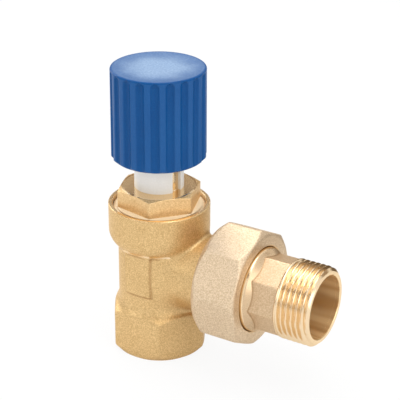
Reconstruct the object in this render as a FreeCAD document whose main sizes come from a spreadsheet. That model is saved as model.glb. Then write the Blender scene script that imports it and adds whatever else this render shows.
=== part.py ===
import FreeCAD, Part
import math
import os
import re

import Sketcher

# Angle bypass valve with a union outlet: a threaded inlet below, a spring-loaded disc on a
# seat, a bonnet with a setting knob on top, and a union nut with a threaded tailpiece at the side.
# +Z is the valve's axis, with the origin at the inlet's mouth; the outlet's axis runs along +X.

doc = FreeCAD.newDocument("BypassValve")

# Driving dimensions in millimetres and degrees
SIZES = {
    # body casting
    "base_wall": 1.78,
    "base_height": 15.5,
    "base_rounding": 0.8,
    "base_foot_setback": 0.4,
    "base_foot_angle": 36.0,
    "base_crown_angle": 20.0,
    "base_fillet": 2.6,
    "tube_step": 1.1,
    "tube_wall": 2.3,
    "pad_width": 9.6,
    "pad_rise": 0.3,
    "pad_margin": 5.58,
    "ring_rise": 0.2,
    "ring_height": 9.16,
    "ring_rounding": 6.2,
    "ring_edge": 0.25,
    "rim_width": 1.4,
    "recess_gap": 1.17,
    "recess_depth": 2.16,
    # inlet and seat
    "pipe_thread_radius": 13.22,
    "pipe_thread_pitch": 1.814,
    "pipe_thread_depth": 1.16,
    "pipe_thread_width": 1.3,
    "inlet_thread_length": 14.5,
    "inlet_mouth_chamfer": 0.45,
    "seat_step": 4.56,
    "seat_ledge": 2.0,
    "seat_plate": 2.3,
    "seat_lip_width": 1.2,
    "seat_lip_height": 1.2,
    # outlet and union
    "neck_rise": 0.179,
    "neck_step": 1.2,
    "neck_wall": 4.5,
    "neck_fillet": 0.8,
    "passage_sill": 0.1,
    "union_thread_start": 24.3,
    "union_thread_length": 8.7,
    "union_thread_pitch": 2.309,
    "union_thread_depth": 1.48,
    "union_thread_width": 1.65,
    "union_gasket_thickness": 2.0,
    "flange_thickness": 2.0,
    "flange_step": 1.0,
    "flange_gap": 0.04,
    "collar_margin": 0.88,
    "collar_length": 0.9,
    "cone_length": 3.3,
    "tail_wall": 1.46,
    "grip_wall": 1.4,
    "grip_length": 6.9,
    "grip_rounding": 0.6,
    "grip_turn": 82.6,
    "tail_thread_length": 12.0,
    "nut_side_wall": 1.93,
    "nut_end_wall": 2.35,
    "nut_overhang": 0.9,
    "nut_hole_gap": 0.35,
    "nut_rounding": 1.2,
    "nut_turn": 5.5,
    "nut_back_setback": 0.5,
    "nut_back_angle": 50.0,
    "nut_front_setback": 0.25,
    "nut_front_angle": 40.0,
    # bonnet
    "bonnet_flat_step": 0.5,
    "bonnet_height": 8.0,
    "bonnet_turn": -10.5,
    "bonnet_rounding": 0.4,
    "collar_gap": 0.3,
    "collar_height": 1.6,
    "collar_angle": 12.0,
    "bonnet_face_margin": 0.07,
    "bonnet_face_angle": 23.0,
    "bonnet_thread_step": 1.4,
    "bonnet_thread_depth": 1.0,
    "bonnet_thread_length": 6.3,
    "bonnet_skirt": 1.0,
    "bonnet_wall": 2.0,
    "bonnet_cavity_depth": 10.2,
    "bonnet_seal_width": 1.7,
    "bonnet_seal_depth": 1.4,
    "stem_neck_radius": 7.1,
    "stem_neck_length": 17.5,
    # spindle and its seals
    "spindle_radius": 4.0,
    "spindle_thread_step": 0.95,
    "spindle_nose": 1.85,
    "spindle_square": 6.4,
    "square_length": 10.0,
    "square_rounding": 0.3,
    "head_clearance": 0.5,
    "bore_clearance": 1.0,
    "stop_ring_width": 2.2,
    "stop_ring_thickness": 1.0,
    "stop_groove_depth": 0.7,
    "seal_section": 0.9,
    "seal_side_gap": 0.4,
    "seal_land": 0.7,
    "seal_margin": 1.0,
    # scale sleeve
    "sleeve_wall": 1.12,
    "sleeve_setback": 1.0,
    "sleeve_slot": 3.7,
    "sleeve_turn": -11.8,
    # knob
    "knob_radius": 15.55,
    "knob_length": 30.95,
    "knob_roof": 4.15,
    "knob_draft": 0.1,
    "knob_edge": 0.8,
    "knob_travel": 9.0,
    "flute_count": 20,
    "flute_radius": 1.9,
    "flute_offset": 1.05,
    "flute_turn": -7.1,
    "flute_margin": 1.2,
    # setting spring and its cup
    "spring_wire": 0.5,
    "spring_turns": 5.0,
    "spring_gap": 1.2,
    "cup_clearance": 0.5,
    "cup_plate": 1.8,
    "cup_skirt": 2.5,
    "cup_wall": 0.8,
    "cup_boss": 2.0,
    "washer_thickness": 0.5,
    "washer_width": 2.2,
    "bush_wall": 1.1,
    "bush_flange": 0.8,
    # disc
    "disc_lift": 4.0,
    "disc_wall": 0.8,
    "disc_plate": 1.7,
    "disc_rim": 1.2,
    "disc_boss": 1.6,
    "disc_gasket_thickness": 2.0,
    "disc_washer_gap": 1.3,
    "disc_washer_thickness": 0.8,
    "stem_radius": 2.0,
    "stem_setback": 1.08,
    "screw_radius": 1.5,
    "screw_head_width": 1.3,
    "screw_head": 1.5,
    "screw_setback": 0.1,
    # fits
    "running_gap": 0.05,
    "loose_gap": 0.3,
    "flat_gap": 0.02,
    "edge_break": 0.5,
}

sheet = doc.addObject("Spreadsheet::Sheet", "Sizes")
for row, (alias, amount) in enumerate(SIZES.items(), start=1):
    sheet.set("A%d" % row, alias)
    sheet.set("B%d" % row, str(amount))
    sheet.setAlias("B%d" % row, alias)
doc.recompute()

# Places that follow from the driving dimensions
PLACES = {
    # body
    "base_flats": "(2 * (pipe_thread_radius + base_wall))",
    "base_corner": "(base_flats / 2 / cos(30 deg))",
    "base_foot_radius": "(base_flats / 2 - base_foot_setback)",
    "tube_radius": "(base_flats / 2 - tube_step)",
    "chamber_radius": "(tube_radius - tube_wall)",
    "neck_radius": "(tube_radius - neck_step)",
    "crown_foot": "(base_height + tube_step * tan(base_crown_angle * 1 deg))",
    "root_run": "(base_fillet * tan((90 - base_crown_angle) / 2 * 1 deg))",
    "root_top": "(crown_foot + root_run)",
    "outlet_height": "(root_top + neck_rise + neck_radius)",
    "passage_radius": "(neck_radius - neck_wall)",
    "chamber_floor": "(outlet_height - passage_radius - passage_sill)",
    "seat_plate_bottom": "(chamber_floor - seat_plate)",
    "seat_height": "(chamber_floor + seat_lip_height)",
    "inlet_minor": "(pipe_thread_radius - pipe_thread_depth)",
    "seat_bore_radius": "(inlet_minor - seat_step)",
    "inlet_bore_radius": "(seat_bore_radius + seat_ledge)",
    "pad_bottom": "(root_top + pad_margin)",
    "ring_radius": "(recess_radius + rim_width)",
    "ring_bottom": "(outlet_height + neck_radius + ring_rise)",
    "ring_start": "(ring_bottom - sqrt(ring_rounding ^ 2 - (ring_rounding - ring_radius + tube_radius) ^ 2))",
    "ring_top": "(ring_bottom + ring_height)",
    "recess_floor": "(ring_top - recess_depth)",
    "recess_radius": "(bonnet_corner + recess_gap)",
    # bonnet
    "seal_ledge": "(recess_floor - bonnet_seal_depth)",
    "seal_pocket": "(bonnet_thread_radius + bonnet_seal_width / 2)",
    "bonnet_thread_radius": "(chamber_radius + bonnet_thread_step)",
    "bonnet_relief": "(bonnet_thread_radius - bonnet_thread_depth)",
    "bonnet_thread_bore": "(bonnet_thread_radius + running_gap)",
    "bonnet_thread_top": "(seal_ledge - edge_break)",
    "bonnet_thread_bottom": "(bonnet_thread_top - bonnet_thread_length)",
    "bonnet_bottom": "(bonnet_thread_bottom - bonnet_skirt)",
    "bonnet_cavity_radius": "(bonnet_relief - bonnet_wall)",
    "bonnet_roof": "(bonnet_bottom + bonnet_cavity_depth)",
    "bonnet_flats": "(2 * (bonnet_thread_radius - bonnet_flat_step))",
    "bonnet_corner": "(bonnet_flats / 2 / cos(30 deg))",
    "bonnet_top": "(recess_floor + bonnet_height)",
    "collar_radius": "(recess_radius - collar_gap)",
    "collar_start": "(bonnet_flats / 2 - edge_break)",
    "bonnet_face_radius": "(bonnet_flats / 2 + bonnet_face_margin)",
    "bonnet_bore": "(spindle_radius + running_gap)",
    "neck_top": "(bonnet_top + stem_neck_length)",
    "neck_thread": "(spindle_thread_radius + running_gap)",
    "neck_thread_start": "(seal_second + seal_groove_width / 2 + edge_break)",
    # spindle and seals
    "seal_groove": "(spindle_radius + running_gap + 2 * seal_section)",
    "seal_groove_width": "(2 * seal_section + seal_side_gap)",
    "seal_first": "(bonnet_roof + seal_margin + seal_groove_width / 2)",
    "seal_second": "(seal_first + seal_groove_width + seal_land)",
    "spindle_thread_radius": "(spindle_radius + spindle_thread_step)",
    "spindle_thread_start": "(neck_thread_start + knob_travel + loose_gap)",
    "spindle_head": "(neck_top + knob_travel + head_clearance)",
    "spindle_top": "(spindle_head + square_length)",
    "spindle_bore": "(stem_radius + loose_gap)",
    "spindle_bore_top": "(stem_top + disc_lift + knob_travel + bore_clearance)",
    "spindle_tip": "(stop_ring_bottom - spindle_nose)",
    "stop_ring_radius": "(spindle_radius + stop_ring_width)",
    "stop_ring_top": "(bonnet_roof - running_gap)",
    "stop_ring_bottom": "(stop_ring_top - stop_ring_thickness)",
    "stop_groove": "(spindle_radius - stop_groove_depth)",
    # spring cup
    "cup_radius": "(bonnet_cavity_radius - cup_clearance)",
    "cup_top": "(spindle_tip - flat_gap - washer_thickness)",
    "cup_underside": "(cup_top - cup_plate)",
    "bush_radius": "(stem_radius + running_gap + bush_wall)",
    "spring_radius": "(cup_radius - cup_wall - spring_gap - spring_wire)",
    "centring_radius": "(spring_radius - spring_wire - loose_gap)",
    # disc
    "disc_gasket_radius": "(seat_bore_radius + seat_lip_width + loose_gap)",
    "disc_radius": "(disc_gasket_radius + disc_wall)",
    "disc_underside": "(seat_height + disc_gasket_thickness)",
    "disc_top": "(disc_underside + disc_plate)",
    "stem_top": "(cup_top - stem_setback)",
    "washer_bottom": "(seat_height - disc_washer_thickness)",
    "disc_washer_radius": "(seat_bore_radius - disc_washer_gap)",
    "screw_head_radius": "(screw_radius + screw_head_width)",
    "screw_top": "(disc_top + disc_boss - screw_setback)",
    # sleeve and knob
    "sleeve_radius": "(stem_neck_radius + sleeve_wall)",
    "sleeve_top": "(neck_top - sleeve_setback)",
    "knob_top": "(spindle_top + knob_roof)",
    "knob_bottom": "(knob_top - knob_length)",
    "knob_cavity": "(sleeve_radius + loose_gap)",
    "knob_cavity_top": "(spindle_head + edge_break)",
    "flute_centre": "(knob_radius + flute_offset)",
    "flute_top": "(knob_top - flute_margin - flute_radius)",
    # union
    "tail_bore_radius": "(pipe_thread_radius - pipe_thread_depth - tail_wall)",
    "tail_collar_radius": "(pipe_thread_radius + collar_margin)",
    "flange_radius": "(tail_collar_radius + flange_step)",
    "union_thread_radius": "(flange_radius + flange_gap + union_thread_depth)",
    "union_thread_bore": "(union_thread_radius + running_gap)",
    "union_face": "(union_thread_start + union_thread_length)",
    "flange_start": "(union_face + union_gasket_thickness)",
    "flange_end": "(flange_start + flange_thickness)",
    "collar_end": "(nut_front + collar_length)",
    "grip_start": "(collar_end + cone_length)",
    "grip_flats": "(2 * (tail_bore_radius + grip_wall))",
    "tail_thread_start": "(grip_start + grip_length)",
    "tail_end": "(tail_thread_start + tail_thread_length)",
    "nut_back": "(union_thread_start - nut_overhang)",
    "nut_wall": "(flange_end + running_gap)",
    "nut_front": "(nut_wall + nut_end_wall)",
    "nut_flats": "(2 * (union_thread_bore + nut_side_wall))",
    "nut_corner": "(nut_flats / 2 / cos(22.5 deg))",
    "nut_back_edge": "(nut_flats / 2 - nut_back_setback)",
    "nut_front_edge": "(nut_flats / 2 - nut_front_setback)",
    "nut_hole_radius": "(tail_collar_radius + nut_hole_gap)",
}
PLACE_WORDS = re.compile(r"\b(%s)\b" % "|".join(PLACES))
SIZE_WORDS = re.compile(r"\b(%s)\b" % "|".join(SIZES))


def formula(text):
    """Returns an expression in which every name points at its cell in the sheet."""
    while PLACE_WORDS.search(text):
        text = PLACE_WORDS.sub(lambda found: PLACES[found.group(1)], text)
    return SIZE_WORDS.sub(r"Sizes.\1", text)


def value(text):
    """Returns the number that an expression has now."""
    amount = sheet.evalExpression(formula(text))
    return float(getattr(amount, "Value", amount))


# Helpers that build bodies from outlines

def new_body(label):
    """Returns an empty body whose label names its file."""
    body = doc.addObject("PartDesign::Body", label)
    body.Label = label
    return body


def new_sketch(body, name, role, turn=None, turn_axis=(0, 0, 1), **offsets):
    """Returns a sketch on one of the body's planes, turned and moved by expressions."""
    sketch = body.newObject("Sketcher::SketchObject", body.Name + "_" + name)
    plane = next(item for item in body.Origin.OriginFeatures if item.Role == role)
    sketch.AttachmentSupport = [(plane, "")]
    sketch.MapMode = "FlatFace"
    if turn:
        axis = FreeCAD.Vector(*turn_axis)
        sketch.AttachmentOffset = FreeCAD.Placement(FreeCAD.Vector(), FreeCAD.Rotation(axis, 90))
        sketch.setExpression("AttachmentOffset.Rotation.Angle", formula("(%s) * 1 deg" % turn))
    for direction, text in offsets.items():
        sketch.setExpression("AttachmentOffset.Base." + direction, formula(text))
    return sketch


def edge_between(start, end, corner):
    """Returns the edge that leaves a corner, and the numbers of its first and last points."""
    if len(corner) == 2:
        return Part.LineSegment(start, end), 1, 2
    radius = value(corner[2])
    half = (end - start).Length / 2
    along = (end - start).normalize()
    left = FreeCAD.Vector(-along.y, along.x, 0)
    reach = math.sqrt(max(radius ** 2 - half ** 2, 0.0))
    centre = (start + end) * 0.5 + left * (reach * corner[3])
    circle = Part.Circle(centre, FreeCAD.Vector(0, 0, 1), radius)
    angles = [math.atan2(point.y - centre.y, point.x - centre.x) for point in (start, end)]
    if corner[3] > 0:
        return Part.ArcOfCircle(circle, angles[0], angles[1]), 1, 2
    return Part.ArcOfCircle(circle, angles[1], angles[0]), 2, 1


def outline(sketch, corners):
    """Draws a closed outline of (x, y) corners.

    A corner may carry a radius and a side (1 for a centre on the left, -1 on the right):
    the edge that leaves it is then an arc.
    """
    places = [FreeCAD.Vector(value(corner[0]), value(corner[1]), 0) for corner in corners]
    ends = []
    for index, corner in enumerate(corners):
        following = places[(index + 1) % len(places)]
        edge, first, last = edge_between(places[index], following, corner)
        number = sketch.addGeometry(edge, False)
        ends.append((number, first, last))
        if len(corner) > 2:
            bend = sketch.addConstraint(Sketcher.Constraint("Radius", number, edge.Radius))
            sketch.setExpression("Constraints[%d]" % bend, formula(corner[2]))
    for index, (number, first, last) in enumerate(ends):
        next_number, next_first, next_last = ends[(index + 1) % len(ends)]
        sketch.addConstraint(Sketcher.Constraint("Coincident", number, last, next_number, next_first))
        for side, kind in enumerate(("DistanceX", "DistanceY")):
            distance = Sketcher.Constraint(kind, -1, 1, number, first, places[index][side])
            constraint = sketch.addConstraint(distance)
            sketch.setExpression("Constraints[%d]" % constraint, formula(corners[index][side]))


def polygon(flats, sides, turn, rounding):
    """Returns the corners of a regular polygon about the sketch's origin, rounded by arcs."""
    half_step = 180.0 / sides
    corner = "(%s / 2 / cos(%s deg))" % (flats, half_step)
    cut = "(%s * tan(%s deg))" % (rounding, half_step)
    places = []
    for index in range(sides):
        angle = "((%s + %s) * 1 deg)" % (turn, 2 * half_step * index)
        before = "(%s - %s deg)" % (angle, 90 + half_step)
        after = "(%s + %s deg)" % (angle, 90 + half_step)
        for side, bend in ((before, (rounding, 1)), (after, ())):
            across = "%s * cos%s + %s * cos%s" % (corner, angle, cut, side)
            up = "%s * sin%s + %s * sin%s" % (corner, angle, cut, side)
            places.append((across, up) + bend)
    return places


def rectangle(left, right, bottom, top):
    """Returns the corners of a rectangle."""
    return [(left, bottom), (right, bottom), (right, top), (left, top)]


def turned(body, name, corners, along="Z", cut=False, turn=None):
    """Adds or cuts a full turn of an outline about the valve's axis or the outlet's axis.

    About Z the corners are (radius, height); about X they are (distance along X, radius).
    """
    if along == "Z":
        sketch = new_sketch(body, name + "_outline", "XZ_Plane", turn=turn, turn_axis=(0, 1, 0))
        axis = "V_Axis"
    else:
        sketch = new_sketch(body, name + "_outline", "XZ_Plane", y="outlet_height")
        axis = "H_Axis"
    outline(sketch, corners)
    feature = body.newObject("PartDesign::Groove" if cut else "PartDesign::Revolution",
                             body.Name + "_" + name)
    feature.Profile = sketch
    feature.ReferenceAxis = (sketch, [axis])
    feature.Angle = 360
    body.Tip = feature
    doc.recompute()
    return feature


def prism(body, name, sketch, length, cut=False, backwards=False):
    """Pads or pockets a sketch by a length."""
    feature = body.newObject("PartDesign::Pocket" if cut else "PartDesign::Pad",
                             body.Name + "_" + name)
    feature.Profile = sketch
    feature.Reversed = backwards
    feature.setExpression("Length", formula(length))
    body.Tip = feature
    doc.recompute()
    return feature


def ring_pattern(body, name, feature, count):
    """Repeats a feature around the valve's axis."""
    pattern = body.newObject("PartDesign::PolarPattern", body.Name + "_" + name)
    pattern.Originals = [feature]
    axis = next(item for item in body.Origin.OriginFeatures if item.Role == "Z_Axis")
    pattern.Axis = (axis, [""])
    pattern.Angle = 360
    pattern.setExpression("Occurrences", formula(count))
    body.Tip = pattern
    doc.recompute()
    return pattern


def thread_grooves(body, name, along, start, end, radius, thread, inward=True):
    """Cuts the ring grooves of a thread between two places, one a pitch from the next."""
    pitch = thread + "_pitch"
    half = thread + "_width / 2"
    depth = thread + "_depth"
    first = "%s + %s / 2" % (start, pitch)
    lip = "%s + %s" % (radius, "edge_break" if inward else "-edge_break")
    root = "%s %s %s" % (radius, "-" if inward else "+", depth)
    grow = "(%s) * (1 + edge_break / %s)" % (half, depth)
    mouth = [("%s - %s" % (first, grow), lip), (first, root), ("%s + %s" % (first, grow), lip)]
    if along == "Z":
        mouth = [(across, up) for up, across in mouth]
    groove = turned(body, name, mouth, along=along, cut=True)
    pattern = body.newObject("PartDesign::LinearPattern", body.Name + "_" + name + "s")
    pattern.Originals = [groove]
    role = "Z_Axis" if along == "Z" else "X_Axis"
    axis = next(item for item in body.Origin.OriginFeatures if item.Role == role)
    pattern.Direction = (axis, [""])
    count = "floor((%s - (%s)) / %s)" % (end, start, pitch)
    pattern.setExpression("Occurrences", formula(count))
    pattern.setExpression("Length", formula("%s * (%s - 1)" % (pitch, count)))
    body.Tip = pattern
    doc.recompute()
    return pattern


def round_edges(body, name, edges, radius):
    """Rounds the named edges of the body's latest feature."""
    base = body.Tip
    fillet = body.newObject("PartDesign::Fillet", body.Name + "_" + name)
    fillet.Base = (base, edges)
    fillet.setExpression("Radius", formula(radius))
    body.Tip = fillet
    doc.recompute()


# Valve body

valve_body = new_body("valve_body")

base_hexagon = new_sketch(valve_body, "base_hexagon", "XY_Plane")
outline(base_hexagon, polygon("base_flats", 6, "0", "base_rounding"))
prism(valve_body, "base", base_hexagon, "root_top")

beyond_base = "(base_corner + edge_break)"
turned(valve_body, "base_foot", [
    ("base_foot_radius", "0"),
    (beyond_base, "0"),
    (beyond_base, "(%s - base_foot_radius) * tan(base_foot_angle * 1 deg)" % beyond_base),
], cut=True)
turned(valve_body, "base_crown", [
    ("tube_radius + root_run * cos(base_crown_angle * 1 deg)",
     "crown_foot - root_run * sin(base_crown_angle * 1 deg)", "base_fillet", -1),
    ("tube_radius", "root_top"),
    ("tube_radius", "root_top + edge_break"),
    (beyond_base, "root_top + edge_break"),
    (beyond_base, "crown_foot - (%s - tube_radius) * tan(base_crown_angle * 1 deg)" % beyond_base),
], cut=True)

turned(valve_body, "tube", [
    ("0", "0"),
    ("tube_radius", "0"),
    ("tube_radius", "ring_start", "ring_rounding", 1),
    ("ring_radius", "ring_bottom"),
    ("ring_radius", "ring_top - ring_edge"),
    ("ring_radius - ring_edge", "ring_top"),
    ("0", "ring_top"),
])

pad_outline = new_sketch(valve_body, "pad_outline", "XZ_Plane")
outline(pad_outline, rectangle("-pad_width / 2", "pad_width / 2", "pad_bottom", "ring_bottom"))
prism(valve_body, "pad", pad_outline, "tube_radius + pad_rise")

turned(valve_body, "outlet", [
    ("0", "0"),
    ("0", "neck_radius"),
    ("union_thread_start", "neck_radius"),
    ("union_thread_start", "union_thread_radius - edge_break"),
    ("union_thread_start + edge_break", "union_thread_radius"),
    ("union_face - edge_break", "union_thread_radius"),
    ("union_face", "union_thread_radius - edge_break"),
    ("union_face", "0"),
], along="X")


def neck_root_edges(body):
    """Returns the edges where the outlet's neck meets the tube and the ring."""
    height = value("outlet_height")
    neck = value("neck_radius")
    names = []
    for number, edge in enumerate(body.Tip.Shape.Edges, start=1):
        points = edge.discretize(7)
        on_neck = all(abs(math.hypot(point.y, point.z - height) - neck) < 1e-3 for point in points)
        if on_neck and max(point.x for point in points) < value("ring_radius + edge_break"):
            names.append("Edge%d" % number)
    return names


round_edges(valve_body, "neck_root", neck_root_edges(valve_body), "neck_fillet")

turned(valve_body, "bore", [
    ("0", "-edge_break"),
    ("inlet_minor + inlet_mouth_chamfer + edge_break", "-edge_break"),
    ("inlet_minor", "inlet_mouth_chamfer"),
    ("inlet_minor", "inlet_thread_length"),
    ("inlet_bore_radius", "inlet_thread_length"),
    ("inlet_bore_radius", "seat_plate_bottom"),
    ("seat_bore_radius", "seat_plate_bottom"),
    ("seat_bore_radius", "seat_height"),
    ("seat_bore_radius + seat_lip_width", "seat_height"),
    ("seat_bore_radius + seat_lip_width", "chamber_floor"),
    ("chamber_radius", "chamber_floor"),
    ("chamber_radius", "bonnet_bottom - edge_break"),
    ("bonnet_thread_bore", "bonnet_thread_bottom"),
    ("bonnet_thread_bore", "seal_ledge"),
    ("seal_pocket", "seal_ledge"),
    ("seal_pocket", "recess_floor"),
    ("recess_radius", "recess_floor"),
    ("recess_radius", "ring_top + edge_break"),
    ("0", "ring_top + edge_break"),
], cut=True)

turned(valve_body, "passage", [
    ("disc_gasket_radius", "0"),
    ("disc_gasket_radius", "passage_radius"),
    ("union_thread_start - (tail_bore_radius - passage_radius)", "passage_radius"),
    ("union_thread_start", "tail_bore_radius"),
    ("union_face + edge_break", "tail_bore_radius"),
    ("union_face + edge_break", "0"),
], along="X", cut=True)

thread_grooves(valve_body, "inlet_thread", "Z", "pipe_thread_depth", "inlet_thread_length",
               "inlet_minor", "pipe_thread", inward=False)
thread_grooves(valve_body, "union_thread", "X", "union_thread_start", "union_face",
               "union_thread_radius", "union_thread")

# Bonnet, screwed into the body's ring

bonnet = new_body("bonnet")

bonnet_hexagon = new_sketch(bonnet, "hexagon", "XY_Plane", z="recess_floor")
outline(bonnet_hexagon, polygon("bonnet_flats", 6, "bonnet_turn", "bonnet_rounding"))
prism(bonnet, "head", bonnet_hexagon, "bonnet_top - recess_floor")

beyond_bonnet = "(bonnet_corner + edge_break)"
turned(bonnet, "head_crown", [
    ("bonnet_face_radius", "bonnet_top"),
    (beyond_bonnet,
     "bonnet_top - (%s - bonnet_face_radius) * tan(bonnet_face_angle * 1 deg)" % beyond_bonnet),
    (beyond_bonnet, "bonnet_top"),
], cut=True)
turned(bonnet, "collar", [
    ("0", "recess_floor"),
    ("collar_radius", "recess_floor"),
    ("collar_radius",
     "recess_floor + collar_height - (collar_radius - collar_start) * tan(collar_angle * 1 deg)"),
    ("collar_start", "recess_floor + collar_height"),
    ("0", "recess_floor + collar_height"),
])

turned(bonnet, "stem", [
    ("0", "bonnet_bottom"),
    ("bonnet_relief", "bonnet_bottom"),
    ("bonnet_relief", "bonnet_thread_bottom"),
    ("bonnet_thread_radius", "bonnet_thread_bottom + edge_break"),
    ("bonnet_thread_radius", "bonnet_thread_top"),
    ("bonnet_relief", "bonnet_thread_top"),
    ("bonnet_relief", "bonnet_top - edge_break"),
    ("stem_neck_radius", "bonnet_top - edge_break"),
    ("stem_neck_radius", "neck_top - edge_break"),
    ("stem_neck_radius - edge_break", "neck_top"),
    ("0", "neck_top"),
])

seal_half = "seal_groove_width / 2"
turned(bonnet, "bore", [
    ("0", "bonnet_bottom - edge_break"),
    ("bonnet_cavity_radius", "bonnet_bottom - edge_break"),
    ("bonnet_cavity_radius", "bonnet_roof"),
    ("bonnet_bore", "bonnet_roof"),
    ("bonnet_bore", "seal_first - " + seal_half),
    ("seal_groove", "seal_first - " + seal_half),
    ("seal_groove", "seal_first + " + seal_half),
    ("bonnet_bore", "seal_first + " + seal_half),
    ("bonnet_bore", "seal_second - " + seal_half),
    ("seal_groove", "seal_second - " + seal_half),
    ("seal_groove", "seal_second + " + seal_half),
    ("bonnet_bore", "seal_second + " + seal_half),
    ("bonnet_bore", "neck_thread_start"),
    ("neck_thread", "neck_thread_start"),
    ("neck_thread", "neck_top - edge_break"),
    ("neck_thread + edge_break", "neck_top"),
    ("neck_thread + edge_break", "neck_top + edge_break"),
    ("0", "neck_top + edge_break"),
], cut=True)


# Ring seals: between bonnet and body, and round the spindle

def ring_seal(label, inner, section, height):
    """Makes a round ring whose hole has the given radius."""
    ring = doc.addObject("Part::Torus", label)
    ring.Label = label
    ring.setExpression("Radius1", formula("%s + %s" % (inner, section)))
    ring.setExpression("Radius2", formula(section))
    ring.setExpression("Placement.Base.z", formula(height))
    return ring


ring_seal("bonnet_oring", "bonnet_relief", "bonnet_seal_depth / 2", "recess_floor - bonnet_seal_depth / 2")
ring_seal("spindle_oring_lower", "spindle_radius + flat_gap", "seal_section", "seal_first")
ring_seal("spindle_oring_upper", "spindle_radius + flat_gap", "seal_section", "seal_second")

# Split scale sleeve round the bonnet's neck

scale_sleeve = new_body("scale_sleeve")
turned(scale_sleeve, "tube", rectangle("stem_neck_radius", "sleeve_radius", "bonnet_top", "sleeve_top"))
slot_outline = new_sketch(scale_sleeve, "slot_outline", "XY_Plane", turn="sleeve_turn", z="bonnet_top")
outline(slot_outline, rectangle("0", "sleeve_radius + edge_break", "-sleeve_slot / 2", "sleeve_slot / 2"))
prism(scale_sleeve, "slot", slot_outline, "sleeve_top - bonnet_top", cut=True, backwards=True)

# Spindle: hollow below, screwed through the bonnet's neck, with a square head for the knob

adjusting_spindle = new_body("adjusting_spindle")
turned(adjusting_spindle, "shank", [
    ("0", "spindle_tip"),
    ("spindle_radius - edge_break", "spindle_tip"),
    ("spindle_radius", "spindle_tip + edge_break"),
    ("spindle_radius", "stop_ring_bottom"),
    ("stop_groove", "stop_ring_bottom"),
    ("stop_groove", "stop_ring_top"),
    ("spindle_radius", "stop_ring_top"),
    ("spindle_radius", "spindle_thread_start"),
    ("spindle_thread_radius", "spindle_thread_start + edge_break"),
    ("spindle_thread_radius", "spindle_head"),
    ("0", "spindle_head"),
])
head_square = new_sketch(adjusting_spindle, "head_square", "XY_Plane", z="spindle_head")
outline(head_square, polygon("spindle_square", 4, "45", "square_rounding"))
prism(adjusting_spindle, "head", head_square, "spindle_top - spindle_head")
turned(adjusting_spindle, "bore", [
    ("0", "spindle_tip - edge_break"),
    ("spindle_bore", "spindle_tip - edge_break"),
    ("spindle_bore", "spindle_bore_top"),
    ("0", "spindle_bore_top + spindle_bore / 2"),
], cut=True)

# Stop ring: an open clip in the spindle's groove, under the bonnet's roof

spindle_stop_ring = new_body("spindle_stop_ring")
turned(spindle_stop_ring, "ring",
       rectangle("stop_groove + flat_gap", "stop_ring_radius",
                 "stop_ring_bottom + flat_gap", "stop_ring_top"))
mouth_outline = new_sketch(spindle_stop_ring, "mouth_outline", "XY_Plane", z="stop_ring_bottom")
outline(mouth_outline, rectangle("0", "stop_ring_radius + edge_break",
                                 "-stop_groove * 0.8", "stop_groove * 0.8"))
prism(spindle_stop_ring, "mouth", mouth_outline, "stop_ring_thickness", cut=True, backwards=True)

# Knob: a fluted cap over the sleeve, with a square socket on the spindle's head

adjusting_knob = new_body("adjusting_knob")
turned(adjusting_knob, "cap", [
    ("0", "knob_bottom"),
    ("knob_radius + knob_draft", "knob_bottom"),
    ("knob_radius", "knob_top - knob_edge", "knob_edge", 1),
    ("knob_radius - knob_edge", "knob_top"),
    ("0", "knob_top"),
])
turned(adjusting_knob, "hollow",
       rectangle("0", "knob_cavity", "knob_bottom - edge_break", "knob_cavity_top"), cut=True)
socket_square = new_sketch(adjusting_knob, "socket_square", "XY_Plane", z="spindle_top")
outline(socket_square, polygon("spindle_square", 4, "45", "square_rounding"))
prism(adjusting_knob, "socket", socket_square, "spindle_top - spindle_head", cut=True)

flute_outline = new_sketch(adjusting_knob, "flute_outline", "XZ_Plane", turn="flute_turn",
                           turn_axis=(0, 1, 0))
outline(flute_outline, [
    ("flute_centre", "knob_bottom - edge_break"),
    ("flute_centre + flute_radius", "knob_bottom - edge_break"),
    ("flute_centre + flute_radius", "flute_top", "flute_radius", 1),
    ("flute_centre", "flute_top + flute_radius"),
])
flute_axis = flute_outline.addGeometry(Part.LineSegment(
    FreeCAD.Vector(value("flute_centre"), 0, 0),
    FreeCAD.Vector(value("flute_centre"), value("knob_top"), 0)), True)
flute_outline.addConstraint(Sketcher.Constraint("Vertical", flute_axis))
flute_outline.addConstraint(Sketcher.Constraint("PointOnObject", 0, 1, flute_axis))
flute = adjusting_knob.newObject("PartDesign::Groove", "adjusting_knob_flute")
flute.Profile = flute_outline
flute.ReferenceAxis = (flute_outline, ["Axis0"])
flute.Angle = 360
adjusting_knob.Tip = flute
doc.recompute()
ring_pattern(adjusting_knob, "flutes", flute, "flute_count")


# Setting spring between the disc and its cup

def turned_piece(label, corners, along="Z"):
    """Makes a piece that is one full turn of an outline."""
    body = new_body(label)
    turned(body, "turning", corners, along=along)
    return body


turned_piece("thrust_washer", rectangle("spindle_bore + flat_gap", "spindle_bore + washer_width",
                                        "cup_top", "cup_top + washer_thickness"))

turned_piece("spring_cup", [
    ("bush_radius", "cup_underside - cup_boss"),
    ("centring_radius - edge_break", "cup_underside - cup_boss"),
    ("centring_radius", "cup_underside - cup_boss + edge_break"),
    ("centring_radius", "cup_underside"),
    ("cup_radius - cup_wall", "cup_underside"),
    ("cup_radius - cup_wall", "cup_underside - cup_skirt"),
    ("cup_radius", "cup_underside - cup_skirt"),
    ("cup_radius", "cup_top - edge_break"),
    ("cup_radius - edge_break", "cup_top"),
    ("bush_radius", "cup_top"),
])

turned_piece("guide_bush", [
    ("stem_radius + running_gap", "cup_underside - cup_boss - bush_flange"),
    ("bush_radius + bush_wall", "cup_underside - cup_boss - bush_flange"),
    ("bush_radius + bush_wall", "cup_underside - cup_boss"),
    ("bush_radius", "cup_underside - cup_boss"),
    ("bush_radius", "cup_top"),
    ("stem_radius + running_gap", "cup_top"),
])

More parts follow.
